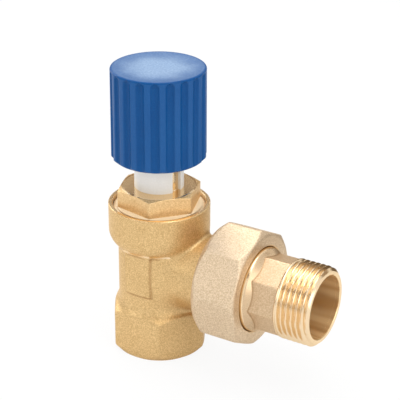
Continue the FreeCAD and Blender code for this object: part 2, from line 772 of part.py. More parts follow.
spring_path = doc.addObject("Part::Helix", "spring_path")
spring_path.setExpression("Radius", formula("spring_radius"))
spring_path.setExpression("Pitch", formula("(cup_underside - disc_top - 2 * spring_wire) / spring_turns"))
spring_path.setExpression("Height", formula("cup_underside - disc_top - 2 * spring_wire"))
spring_path.setExpression("Placement.Base.z", formula("disc_top + spring_wire"))
spring_section = doc.addObject("Part::Circle", "spring_section")
spring_section.setExpression("Radius", formula("spring_wire"))
spring_section.Placement.Rotation = FreeCAD.Rotation(FreeCAD.Vector(1, 0, 0), 90)
spring_section.setExpression("Placement.Base.x", formula("spring_radius"))
spring_section.setExpression("Placement.Base.z", formula("disc_top + spring_wire"))
preset_spring = doc.addObject("Part::Sweep", "preset_spring")
preset_spring.Label = "preset_spring"
preset_spring.Sections = [spring_section]
preset_spring.Spine = (spring_path, [])
preset_spring.Solid = True
preset_spring.Frenet = True

# Disc on its seat: carrier with guide stem, gasket, washer and screw

turned_piece("disc_carrier", [
    ("0", "screw_top + loose_gap"),
    ("screw_radius", "screw_top + loose_gap"),
    ("screw_radius", "disc_underside"),
    ("disc_gasket_radius", "disc_underside"),
    ("disc_gasket_radius", "disc_underside - disc_rim"),
    ("disc_radius", "disc_underside - disc_rim"),
    ("disc_radius", "disc_top"),
    ("centring_radius", "disc_top"),
    ("centring_radius", "disc_top + disc_boss - edge_break"),
    ("centring_radius - edge_break", "disc_top + disc_boss"),
    ("screw_radius + stem_radius", "disc_top + disc_boss"),
    ("stem_radius", "disc_top + disc_boss + screw_radius"),
    ("stem_radius", "stem_top - edge_break"),
    ("stem_radius - edge_break", "stem_top"),
    ("0", "stem_top"),
])
turned_piece("disc_gasket", rectangle("screw_radius", "disc_gasket_radius",
                                      "seat_height", "disc_underside"))
turned_piece("disc_washer", rectangle("screw_radius", "disc_washer_radius", "washer_bottom", "seat_height"))
turned_piece("disc_screw", [
    ("0", "washer_bottom - screw_head"),
    ("screw_head_radius - edge_break", "washer_bottom - screw_head"),
    ("screw_head_radius", "washer_bottom - screw_head + edge_break"),
    ("screw_head_radius", "washer_bottom"),
    ("screw_radius", "washer_bottom"),
    ("screw_radius", "screw_top"),
    ("0", "screw_top"),
])

# Union: gasket, tailpiece and the nut that draws it to the body

turned_piece("union_gasket", rectangle("union_face", "flange_start", "tail_bore_radius", "flange_radius"),
             along="X")

tailpiece = new_body("tailpiece")
turned(tailpiece, "turning", [
    ("flange_start", "0"),
    ("flange_start", "flange_radius"),
    ("flange_end", "flange_radius"),
    ("flange_end", "tail_collar_radius"),
    ("collar_end", "tail_collar_radius"),
    ("grip_start", "grip_flats / 2"),
    ("tail_thread_start", "grip_flats / 2"),
    ("tail_thread_start + edge_break", "pipe_thread_radius"),
    ("tail_end - pipe_thread_depth", "pipe_thread_radius"),
    ("tail_end", "pipe_thread_radius - pipe_thread_depth"),
    ("tail_end", "0"),
], along="X")
tail_grip = new_sketch(tailpiece, "octagon", "YZ_Plane", y="outlet_height", z="collar_end")
outline(tail_grip, polygon("grip_flats", 8, "180 - grip_turn", "grip_rounding"))
prism(tailpiece, "octagon_flats", tail_grip, "tail_thread_start - collar_end")
turned(tailpiece, "bore", rectangle("flange_start - edge_break", "tail_end + edge_break", "0",
                                    "tail_bore_radius"), along="X", cut=True)
thread_grooves(tailpiece, "thread", "X", "tail_thread_start + edge_break", "tail_end",
               "pipe_thread_radius", "pipe_thread")

union_nut = new_body("union_nut")
nut_octagon = new_sketch(union_nut, "octagon", "YZ_Plane", y="outlet_height", z="nut_back")
outline(nut_octagon, polygon("nut_flats", 8, "180 - nut_turn", "nut_rounding"))
prism(union_nut, "octagon_flats", nut_octagon, "nut_front - nut_back")
beyond_nut = "(nut_corner + edge_break)"
turned(union_nut, "back_edge", [
    ("nut_back", "nut_back_edge"),
    ("nut_back", beyond_nut),
    ("nut_back + (%s - nut_back_edge) * tan(nut_back_angle * 1 deg)" % beyond_nut, beyond_nut),
], along="X", cut=True)
turned(union_nut, "front_edge", [
    ("nut_front", "nut_front_edge"),
    ("nut_front - (%s - nut_front_edge) * tan(nut_front_angle * 1 deg)" % beyond_nut, beyond_nut),
    ("nut_front", beyond_nut),
], along="X", cut=True)
turned(union_nut, "hollow", [
    ("nut_back - edge_break", "0"),
    ("nut_back - edge_break", "union_thread_bore + 2 * edge_break"),
    ("nut_back + edge_break", "union_thread_bore"),
    ("nut_wall", "union_thread_bore"),
    ("nut_wall", "nut_hole_radius"),
    ("nut_front + edge_break", "nut_hole_radius"),
    ("nut_front + edge_break", "0"),
], along="X", cut=True)

doc.recompute()

# Checks, then one file for each piece

NODES = [
    "valve_body", "bonnet", "bonnet_oring", "spindle_oring_lower", "spindle_oring_upper",
    "scale_sleeve", "adjusting_spindle", "spindle_stop_ring", "adjusting_knob", "thrust_washer",
    "spring_cup", "guide_bush", "preset_spring", "disc_carrier", "disc_gasket", "disc_washer",
    "disc_screw", "union_gasket", "tailpiece", "union_nut",
]

for item in doc.Objects:
    if "Invalid" in item.State or "Error" in item.State:
        raise RuntimeError("%s failed: %s" % (item.Name, item.State))
    if item.TypeId in ("PartDesign::Groove", "PartDesign::Pocket"):
        if item.BaseFeature.Shape.Volume - item.Shape.Volume < 1e-3:
            raise RuntimeError("%s cuts nothing" % item.Name)

os.makedirs("parts", exist_ok=True)
for node in NODES:
    piece = doc.getObjectsByLabel(node)[0]
    shape = piece.Shape
    if shape.isNull() or not shape.isValid() or len(shape.Solids) != 1:
        raise RuntimeError("%s is not one valid solid" % node)
for node in NODES:
    shape = doc.getObjectsByLabel(node)[0].Shape
    shape.exportStep("parts/%s.step" % node)
    print("%-20s %10.1f mm3" % (node, shape.Volume))
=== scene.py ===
import logging
import math
from dataclasses import dataclass, field, fields
from enum import Enum
from typing import ClassVar, Sequence, Union

import bmesh
import bpy
import numpy as np
from mathutils import Matrix, Vector


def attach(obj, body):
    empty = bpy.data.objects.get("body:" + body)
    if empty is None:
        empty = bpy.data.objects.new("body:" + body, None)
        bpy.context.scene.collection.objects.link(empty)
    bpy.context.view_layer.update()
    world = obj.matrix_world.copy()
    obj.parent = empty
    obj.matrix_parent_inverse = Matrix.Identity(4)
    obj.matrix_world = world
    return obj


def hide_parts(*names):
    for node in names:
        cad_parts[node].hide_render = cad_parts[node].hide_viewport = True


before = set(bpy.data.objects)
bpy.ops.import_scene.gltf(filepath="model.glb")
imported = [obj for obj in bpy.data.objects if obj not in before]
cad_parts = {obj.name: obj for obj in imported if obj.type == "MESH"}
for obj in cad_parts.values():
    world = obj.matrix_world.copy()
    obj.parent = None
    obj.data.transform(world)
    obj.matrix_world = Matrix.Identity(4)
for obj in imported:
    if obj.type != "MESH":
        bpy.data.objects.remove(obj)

# Angle bypass valve: forged brass body, bonnet with a blue setting knob, and a union outlet.
# Lengths are in metres; +Z is the valve's axis and +X runs along the outlet's axis.

log = logging.getLogger("bypass_valve")
MM = 0.001
ON_AXIS = 1e-6
HAIR = 0.01 * MM  # what keeps a rule off the faces beside it
WHOLE = 1.0  # a step that is longer than any edge, so that the edge stays undivided
Number = Union["Value", float]
Colour = tuple[float, float, float]
Band = tuple[float, float]
Settings = dict[str, object]
Inputs = dict[Union[str, int], object]


def from_screen(red: int, green: int, blue: int) -> Colour:
    """Turns an 8-bit screen colour into the linear colour that nodes take.

    Args:
        red: Red from 0 to 255.
        green: Green from 0 to 255.
        blue: Blue from 0 to 255.

    Returns:
        The linear colour.
    """
    def channel(amount: int) -> float:
        """Returns one linear channel."""
        share = amount / 255.0
        return share / 12.92 if share <= 0.04045 else ((share + 0.055) / 1.055) ** 2.4

    return (channel(red), channel(green), channel(blue))


# Nodes

class Value:
    """A number in a node tree, on which Python's operators add Math nodes."""

    def __init__(self, board: "Board", socket: bpy.types.NodeSocket) -> None:
        """Wraps an output socket of a board's tree."""
        self.board = board
        self.socket = socket

    def math(self, operation: str, *others: Number) -> "Value":
        """Applies a Math node to this number.

        Args:
            operation: The Math node's operation.
            others: The second and third operands, as far as it has them.

        Returns:
            The result.
        """
        operands = dict(enumerate((self, *others)))
        return self.board.value("ShaderNodeMath", {"operation": operation}, operands)

    def __add__(self, other: Number) -> "Value":
        """Adds."""
        return self.math("ADD", other)

    def __sub__(self, other: Number) -> "Value":
        """Subtracts."""
        return self.math("SUBTRACT", other)

    def __rsub__(self, other: Number) -> "Value":
        """Subtracts this number from another."""
        return (self * -1.0).math("ADD", other)

    def __mul__(self, other: Number) -> "Value":
        """Multiplies."""
        return self.math("MULTIPLY", other)

    __radd__ = __add__
    __rmul__ = __mul__

    def __truediv__(self, other: Number) -> "Value":
        """Divides."""
        return self.math("DIVIDE", other)

    def __gt__(self, other: Number) -> "Value":
        """Gives 1 where this number is the greater one, else 0."""
        return self.math("GREATER_THAN", other)

    def __lt__(self, other: Number) -> "Value":
        """Gives 1 where this number is the smaller one, else 0."""
        return self.math("LESS_THAN", other)

    def root(self) -> "Value":
        """Returns the square root, with 0 for a negative number."""
        return self.math("MAXIMUM", 0.0).math("SQRT")

    def clamped(self) -> "Value":
        """Returns the number held between 0 and 1."""
        return self.math("MAXIMUM", 0.0).math("MINIMUM", 1.0)

    def step(self, start: float, end: float) -> "Value":
        """Rises smoothly from 0 at start to 1 at end.

        Args:
            start: Where the rise starts.
            end: Where it ends.

        Returns:
            The share from 0 to 1.
        """
        return ((self - start) / (end - start)).clamped().eased()

    def eased(self) -> "Value":
        """Rounds both ends of a share that runs from 0 to 1."""
        return self * self * (3.0 - 2.0 * self)


class Board:
    """A node tree that is being wired."""

    def __init__(self, tree: bpy.types.NodeTree) -> None:
        """Takes the tree to wire."""
        self.tree = tree

    def node(self, kind: str, settings: Settings | None = None,
             inputs: Inputs | None = None) -> bpy.types.Node:
        """Adds a node.

        Args:
            kind: The node's type name.
            settings: Its settings, which are set first.
            inputs: What its sockets take, by name or number: a value, a Value or a socket.

        Returns:
            The node.
        """
        made = self.tree.nodes.new(kind)
        for name, setting in (settings or {}).items():
            setattr(made, name, setting)
        for key, item in (inputs or {}).items():
            socket = made.inputs[key]
            if isinstance(item, Value):
                item = item.socket
            if isinstance(item, bpy.types.NodeSocket):
                self.tree.links.new(item, socket)
            elif isinstance(item, tuple) and len(item) == 3 and socket.type == "RGBA":
                socket.default_value = (*item, 1.0)
            else:
                socket.default_value = item
        return made

    def value(self, kind: str, settings: Settings | None = None,
              inputs: Inputs | None = None) -> Value:
        """Adds a node and wraps its first output."""
        return Value(self, self.node(kind, settings, inputs).outputs[0])

    def mix(self, share: Number, first: object, second: object) -> bpy.types.NodeSocket:
        """Mixes two colours.

        Args:
            share: 0 for the first colour, 1 for the second.
            first: A colour or a socket.
            second: A colour or a socket.

        Returns:
            The mixed colour's socket.
        """
        made = self.node("ShaderNodeMix", {"data_type": "RGBA"}, {0: share, 6: first, 7: second})
        return made.outputs[2]

    def vector(self, x: Number, y: Number, z: Number = 0.0) -> bpy.types.NodeSocket:
        """Joins numbers into a vector."""
        return self.node("ShaderNodeCombineXYZ", inputs={0: x, 1: y, 2: z}).outputs[0]

    def noise(self, vector: bpy.types.NodeSocket, scale: float = 1.0, detail: float = 2.0,
              rough: float = 0.5) -> Value:
        """Returns a noise pattern from 0 to 1.

        Args:
            vector: The pattern's coordinates.
            scale: Features for each unit of length.
            detail: How many finer octaves it has.
            rough: How strong they are.

        Returns:
            The pattern.
        """
        return self.value("ShaderNodeTexNoise", inputs={
            "Vector": vector, "Scale": scale, "Detail": detail, "Roughness": rough,
        })

    def bump(self, strength: float, depth: float, height: Value) -> bpy.types.NodeSocket:
        """Returns the normal of a fine relief.

        Args:
            strength: How much of the relief shows, from 0 to 1.
            depth: The relief's depth where the height is 1.
            height: The height, from 0 to 1.

        Returns:
            The normal's socket.
        """
        return self.node("ShaderNodeBump", inputs={
            "Strength": strength, "Distance": depth, "Height": height,
        }).outputs[0]


def new_material(name: str) -> tuple[bpy.types.Material, Board]:
    """Makes an empty material and the board that it is wired on.

    Args:
        name: Its name.

    Returns:
        The material and its board.
    """
    made = bpy.data.materials.new(name)
    made.use_nodes = True
    made.node_tree.nodes.clear()
    return made, Board(made.node_tree)


@dataclass
class Place:
    """A point on a piece, in the row's axes, as numbers of a node tree."""

    board: Board
    x: Value
    y: Value
    z: Value

    @classmethod
    def of(cls, board: Board, vector: bpy.types.NodeSocket) -> "Place":
        """Splits a position's socket into its coordinates."""
        parts = board.node("ShaderNodeSeparateXYZ", inputs={0: vector})
        return cls(board, *(Value(board, socket) for socket in parts.outputs))

    def vector(self) -> bpy.types.NodeSocket:
        """Returns the position as a socket."""
        return self.board.vector(self.x, self.y, self.z)

    def from_stem(self) -> Value:
        """Returns the distance from the valve's axis."""
        return (self.x * self.x + self.y * self.y).root()

    def from_outlet(self) -> Value:
        """Returns the distance from the outlet's axis."""
        up = self.z - Outlet.height
        return (self.y * self.y + up * up).root()


# Turned shapes and the rules that work them

class Axis(Enum):
    """The axis that a piece is turned about."""

    STEM = "stem"
    OUTLET = "outlet"


@dataclass(frozen=True)
class Corner:
    """A corner of a turned outline, and how finely the edge that leaves it is divided."""

    along: float
    radius: float
    step: float = 0.004


def outline_points(corners: Sequence[Corner]) -> list[tuple[float, float]]:
    """Divides the edges of a closed outline.

    Args:
        corners: The outline's corners in order.

    Returns:
        Points as (distance along the axis, radius).
    """
    points = []
    for corner, following in zip(corners, [*corners[1:], corners[0]]):
        if corner.radius < ON_AXIS and following.radius < ON_AXIS:
            points.append((corner.along, 0.0))
            continue
        run, rise = following.along - corner.along, following.radius - corner.radius
        count = max(1, math.ceil(math.hypot(run, rise) / corner.step))
        for index in range(count):
            share = index / count
            points.append((corner.along + run * share, corner.radius + rise * share))
    return points


def arc_corners(centre: tuple[float, float], radius: float, start: float, end: float,
                count: int) -> list[Corner]:
    """Returns corners along an arc.

    Args:
        centre: The arc's centre as (along, radius).
        radius: The arc's radius.
        start: Its first angle in degrees, from the direction along the axis.
        end: Its last angle.
        count: How many corners it gets.

    Returns:
        The corners, from first to last.
    """
    corners = []
    for index in range(count):
        angle = math.radians(start + (end - start) * index / (count - 1))
        corners.append(Corner(centre[0] + radius * math.cos(angle),
                              centre[1] + radius * math.sin(angle)))
    return corners


def stepped(radius: float, *changes: tuple[float, float]) -> list[Corner]:
    """Returns the corners of an outline that changes its radius in plain steps.

    Args:
        radius: The radius before the first step.
        changes: The steps, each as (place along the axis, radius after it).

    Returns:
        Two corners for each step.
    """
    corners = []
    for along, following in changes:
        corners += [Corner(along, radius, WHOLE), Corner(along, following, WHOLE)]
        radius = following
    return corners


def corner_radius(flats: float, sides: int) -> float:
    """Returns how far the corners of a polygon lie from its middle."""
    return flats / 2.0 / math.cos(math.pi / sides)


def turned_mesh(name: str, corners: Sequence[Corner], axis: Axis, segments: int) -> bpy.types.Mesh:
    """Turns a closed outline about an axis into a closed mesh.

    Args:
        name: The mesh's name.
        corners: The outline.
        axis: The axis it is turned about.
        segments: How many steps a full turn has.

    Returns:
        The mesh, with its place in its vertices.
    """
    def point(along: float, radius: float, angle: float) -> Vector:
        """Returns a point in the row's axes.

        Args:
            along: Its place along the axis.
            radius: Its distance from the axis.
            angle: Its angle round the axis.

        Returns:
            The point.
        """
        across, up = radius * math.cos(angle), radius * math.sin(angle)
        if axis is Axis.STEM:
            return Vector((across, up, along))
        return Vector((along, across, Outlet.height + up))

    shape = bmesh.new()
    rings = []
    for along, radius in outline_points(corners):
        if radius < ON_AXIS:
            rings.append([shape.verts.new(point(along, 0.0, 0.0))] * segments)
        else:
            rings.append([shape.verts.new(point(along, radius, 2 * math.pi * step / segments))
                          for step in range(segments)])
    for ring, following in zip(rings, [*rings[1:], rings[0]]):
        if ring[0] is ring[1] and following[0] is following[1]:
            continue
        for step in range(segments):
            after = (step + 1) % segments
            quad = (ring[step], ring[after], following[after], following[step])
            shape.faces.new(dict.fromkeys(quad))
    bmesh.ops.recalc_face_normals(shape, faces=shape.faces)
    return mesh_of(name, shape)


def mesh_of(name: str, shape: bmesh.types.BMesh) -> bpy.types.Mesh:
    """Turns a shape under construction into a mesh.

    Args:
        name: Its name.
        shape: The shape, which is freed.

    Returns:
        The mesh.
    """
    mesh = bpy.data.meshes.new(name)
    shape.to_mesh(mesh)
    shape.free()
    return mesh


def sheet_mesh(name: str, width: float, height: float) -> bpy.types.Mesh:
    """Makes a flat rectangle about the origin.

    Args:
        name: Its name.
        width: Its width.
        height: Its height.

    Returns:
        The mesh.
    """
    wide, high = width / 2.0, height / 2.0
    mesh = bpy.data.meshes.new(name)
    mesh.from_pydata([(-wide, -high, 0), (wide, -high, 0), (wide, high, 0), (-wide, high, 0)],
                     [], [(0, 1, 2, 3)])
    return mesh


class Rule:
    """A geometry node tree that changes the radius of a turned piece by a rule."""

    title: ClassVar[str] = "rule"

    def inputs(self) -> dict[str, float]:
        """Returns the tree's named inputs, one for each of the rule's sizes.

        Returns:
            The inputs, by name.
        """
        sizes = {item.name: getattr(self, item.name) for item in fields(self)}
        return {name.replace("_", " ").title(): size for name, size in sizes.items()
                if not isinstance(size, bool)}

    def radius(self, place: "Turned", sizes: dict[str, Value]) -> Value:
        """Returns the new radius.

        Args:
            place: Where a point of the piece is.
            sizes: The tree's named inputs.

        Returns:
            The radius that the rule gives.
        """
        raise NotImplementedError

    def apply(self, piece: bpy.types.Object, axis: Axis, material: bpy.types.Material) -> None:
        """Adds this rule's tree to a piece as a modifier.

        Args:
            piece: The piece.
            axis: The axis it is turned about.
            material: Its material.
        """
        tree = bpy.data.node_groups.new("%s_%s" % (piece.name, self.title), "GeometryNodeTree")
        for side in ("INPUT", "OUTPUT"):
            tree.interface.new_socket("Geometry", in_out=side, socket_type="NodeSocketGeometry")
        named = self.inputs()
        for name in named:
            tree.interface.new_socket(name, in_out="INPUT", socket_type="NodeSocketFloat")
        board = Board(tree)
        entry = board.node("NodeGroupInput")
        sizes = {name: Value(board, entry.outputs[name]) for name in named}
        place = Turned.of(board, axis)
        moved = board.node("GeometryNodeSetPosition", inputs={
            "Geometry": entry.outputs["Geometry"],
            "Position": place.at_radius(self.radius(place, sizes)),
        })
        real = board.node("GeometryNodeRealizeInstances", inputs={"Geometry": moved.outputs[0]})
        painted = board.node("GeometryNodeSetMaterial", inputs={
            "Geometry": real.outputs[0], "Material": material,
        })
        board.node("NodeGroupOutput", inputs={"Geometry": painted.outputs[0]})
        modifier = piece.modifiers.new(self.title, "NODES")
        modifier.node_group = tree
        for item in tree.interface.items_tree:
            if item.in_out == "INPUT" and item.name in named:
                modifier[item.identifier] = float(named[item.name])


@dataclass
class Turned:
    """A point of a turned piece in a geometry node tree, by its axis, radius and angle."""

    board: Board
    axis: Axis
    along: Value
    radius: Value
    angle: Value

    @classmethod
    def of(cls, board: Board, axis: Axis) -> "Turned":
        """Reads the point's position.

        Args:
            board: The tree.
            axis: The axis that the piece is turned about.

        Returns:
            The point.
        """
        place = Place.of(board, board.node("GeometryNodeInputPosition").outputs[0])
        if axis is Axis.STEM:
            along, across, up = place.z, place.x, place.y
        else:
            along, across, up = place.x, place.y, place.z - Outlet.height
        radius = (across * across + up * up).root()
        return cls(board, axis, along, radius, up.math("ARCTAN2", across))

    def at_radius(self, radius: Value) -> bpy.types.NodeSocket:
        """Returns this point's position at another radius.

        Args:
            radius: The other radius.

        Returns:
            The position's socket.
        """
        across = radius * self.angle.math("COSINE")
        up = radius * self.angle.math("SINE")
        if self.axis is Axis.STEM:
            return self.board.vector(across, up, self.along)
        return self.board.vector(self.along, across, up + Outlet.height)

    def from_nearest(self, count: Value, turn: Value) -> Value:
        """Returns the angle from the nearest of several equal directions.

        Args:
            count: How many directions share a full turn.
            turn: The first direction's angle.

        Returns:
            The angle, from minus to plus half a step.
        """
        step = count.math("POWER", -1.0) * 2.0 * math.pi
        share = ((self.angle - turn) / step + 0.5).math("FLOORED_MODULO", 1.0)
        return (share - 0.5) * step


@dataclass(frozen=True)
class Flutes(Rule):
    """Grip flutes round a knob, cut by a ball-ended cutter that stops short of the top."""

    flute_count: int
    cutter_radius: float
    cutter_centre: float
    turn: float
    flute_top: float
    softness: float
    title: ClassVar[str] = "flutes"

    def radius(self, place: Turned, sizes: dict[str, Value]) -> Value:
        """Returns the radius under the nearest cutter, eased into the knob's own.

        Args:
            place: A point of the piece.
            sizes: The tree's named inputs.

        Returns:
            The radius.
        """
        off = place.from_nearest(sizes["Flute Count"], sizes["Turn"])
        above = (place.along - sizes["Flute Top"]).math("MAXIMUM", 0.0)
        cutter = sizes["Cutter Radius"] * sizes["Cutter Radius"] - above * above
        across = sizes["Cutter Centre"] * off.math("SINE")
        room = cutter - across * across
        root = sizes["Cutter Centre"] * off.math("COSINE") - room.root() + (room < 0.0)
        return place.radius.math("SMOOTH_MIN", root, sizes["Softness"])


@dataclass(frozen=True)
class WrenchFlats(Rule):
    """Flats of a polygon between two places along the axis, with eased corners.

    The flats may run out on a cone, which starts where they do and narrows along the axis.
    """

    sides: int
    across_flats: float
    turn: float
    start: float
    end: float
    softness: float
    cone_radius: float = 0.0
    cone_slope: float = 0.0
    title: ClassVar[str] = "wrench_flats"
    outer_share: ClassVar[float] = 0.49
    shoulder_ease: ClassVar[float] = 2.5

    def radius(self, place: Turned, sizes: dict[str, Value]) -> Value:
        """Returns the polygon's radius, eased into the turned one.

        Args:
            place: A point of the piece.
            sizes: The tree's named inputs.

        Returns:
            The radius.
        """
        off = place.from_nearest(sizes["Sides"], sizes["Turn"])
        flat = sizes["Across Flats"] * 0.5 / off.math("COSINE")
        inside = (place.along > sizes["Start"]) * (place.along < sizes["End"])
        cone = sizes["Cone Radius"] - (place.along - sizes["Start"]) * sizes["Cone Slope"]
        outside = inside * (place.radius > sizes["Across Flats"] * self.outer_share)
        cut = place.radius.math("SMOOTH_MIN", flat + (1.0 - inside), sizes["Softness"])
        return cut.math("SMOOTH_MAX", cone.math("MINIMUM", place.radius) * outside,
                        sizes["Softness"] * self.shoulder_ease)


@dataclass(frozen=True)
class Thread(Rule):
    """A right-handed helical thread between two places along the axis."""

    crest_radius: float
    depth: float
    pitch: float
    start: float
    end: float
    inside: bool = False
    title: ClassVar[str] = "thread"
    crest_share: ClassVar[float] = 0.12
    flank_share: ClassVar[float] = 0.76
    rounded: ClassVar[float] = 0.35
    wall_reach: ClassVar[float] = HAIR

    def radius(self, place: Turned, sizes: dict[str, Value]) -> Value:
        """Returns the radius of the helical groove, which runs in and out over a pitch.

        Args:
            place: A point of the piece.
            sizes: The tree's named inputs.

        Returns:
            The radius.
        """
        turns = (place.along - sizes["Start"]) / sizes["Pitch"] - place.angle / (2.0 * math.pi)
        share = (turns.math("FLOORED_MODULO", 1.0) * 2.0 - 1.0).math("ABSOLUTE")
        fall = 1.0 - ((share - self.crest_share) / self.flank_share).clamped()
        shape = fall.eased() * self.rounded + fall * (1.0 - self.rounded)
        run_in = ((place.along - sizes["Start"]) / sizes["Pitch"]).clamped()
        run_out = ((sizes["End"] - place.along) / sizes["Pitch"] * 2.0 + 1.0).clamped()
        cut = sizes["Depth"] * shape * run_in * run_out
        if self.inside:
            off = (place.radius - sizes["Crest Radius"]).math("ABSOLUTE")
            return place.radius + cut * (off < self.wall_reach)
        past = sizes["Crest Radius"] - cut + (place.along < sizes["Start"])
        return place.radius.math("MINIMUM", past + (place.along > sizes["End"]))


def new_piece(name: str, mesh: bpy.types.Mesh, material: bpy.types.Material) -> bpy.types.Object:
    """Makes an object from a mesh, at the origin.

    Args:
        name: The piece's name.
        mesh: Its mesh.
        material: Its material.

    Returns:
        The object.
    """
    mesh.materials.clear()
    mesh.materials.append(material)
    piece = bpy.data.objects.new(name, mesh)
    bpy.context.scene.collection.objects.link(piece)
    return piece


def worked(name: str, corners: Sequence[Corner], axis: Axis, segments: int, rules: Sequence[Rule],
           material: bpy.types.Material, sharp: float = 32.0) -> bpy.types.Object:
    """Turns an outline, works it by rules and returns the finished plain piece.

    Args:
        name: The piece's name.
        corners: The outline.
        axis: The axis it is turned about.
        segments: How many steps a full turn has.
        rules: The rules in order.
        material: The piece's material.
        sharp: Edges over this angle in degrees stay sharp.

    Returns:
        The piece, with no modifier left on it.
    """
    mesh = turned_mesh(name + "_draft", corners, axis, segments)
    draft = new_piece(name + "_draft", mesh, material)
    for rule in rules:
        rule.apply(draft, axis, material)
    final = plain_copy(draft)
    final.shade_smooth()
    final.set_sharp_from_angle(angle=math.radians(sharp))
    final.name = name
    return new_piece(name, final, material)


def plain_copy(piece: bpy.types.Object) -> bpy.types.Mesh:
    """Returns the mesh that a piece's modifiers give, and removes the piece.

    Args:
        piece: The piece.

    Returns:
        The finished mesh.
    """
    bpy.context.view_layer.update()
    graph = bpy.context.evaluated_depsgraph_get()
    final = bpy.data.meshes.new_from_object(piece.evaluated_get(graph))
    bpy.data.objects.remove(piece)
    return final


class Join(Enum):
    """How one solid changes another."""

    ADD = "UNION"
    CUT = "DIFFERENCE"


def combined(first: bpy.types.Object, second: bpy.types.Object, join: Join) -> bpy.types.Object:
    """Adds or cuts one closed solid to or from another.

    Args:
        first: The solid that is kept.
        second: The solid that is added or taken away, which is removed.
        join: Whether it is added or taken away.

    Returns:
        The result.
    """
    step = first.modifiers.new(join.name.lower(), "BOOLEAN")
    step.operation = join.value
    step.object = second
    step.solver = "MANIFOLD"
    name, material = first.name, first.data.materials[0]
    mesh = plain_copy(first)
    bpy.data.objects.remove(second)
    return new_piece(name, mesh, material)


# Finishes

@dataclass(frozen=True)
class Finish:
    """A finish that makes one material."""

    name: str

    def shade(self, place: Place) -> dict[str, object]:
        """Returns what the surface shader's sockets take.

        Args:
            place: A point on the surface.

        Returns:
            Values, colours and sockets by the shader socket's name.
        """
        raise NotImplementedError

    def material(self) -> bpy.types.Material:
        """Builds the material.

        Returns:
            The material.
        """
        made, board = new_material(self.name)
        place = Place.of(board, board.node("ShaderNodeTexCoord").outputs["Object"])
        shader = board.node("ShaderNodeBsdfPrincipled", inputs=self.shade(place))
        board.node("ShaderNodeOutputMaterial", inputs={"Surface": shader.outputs[0]})
        return made


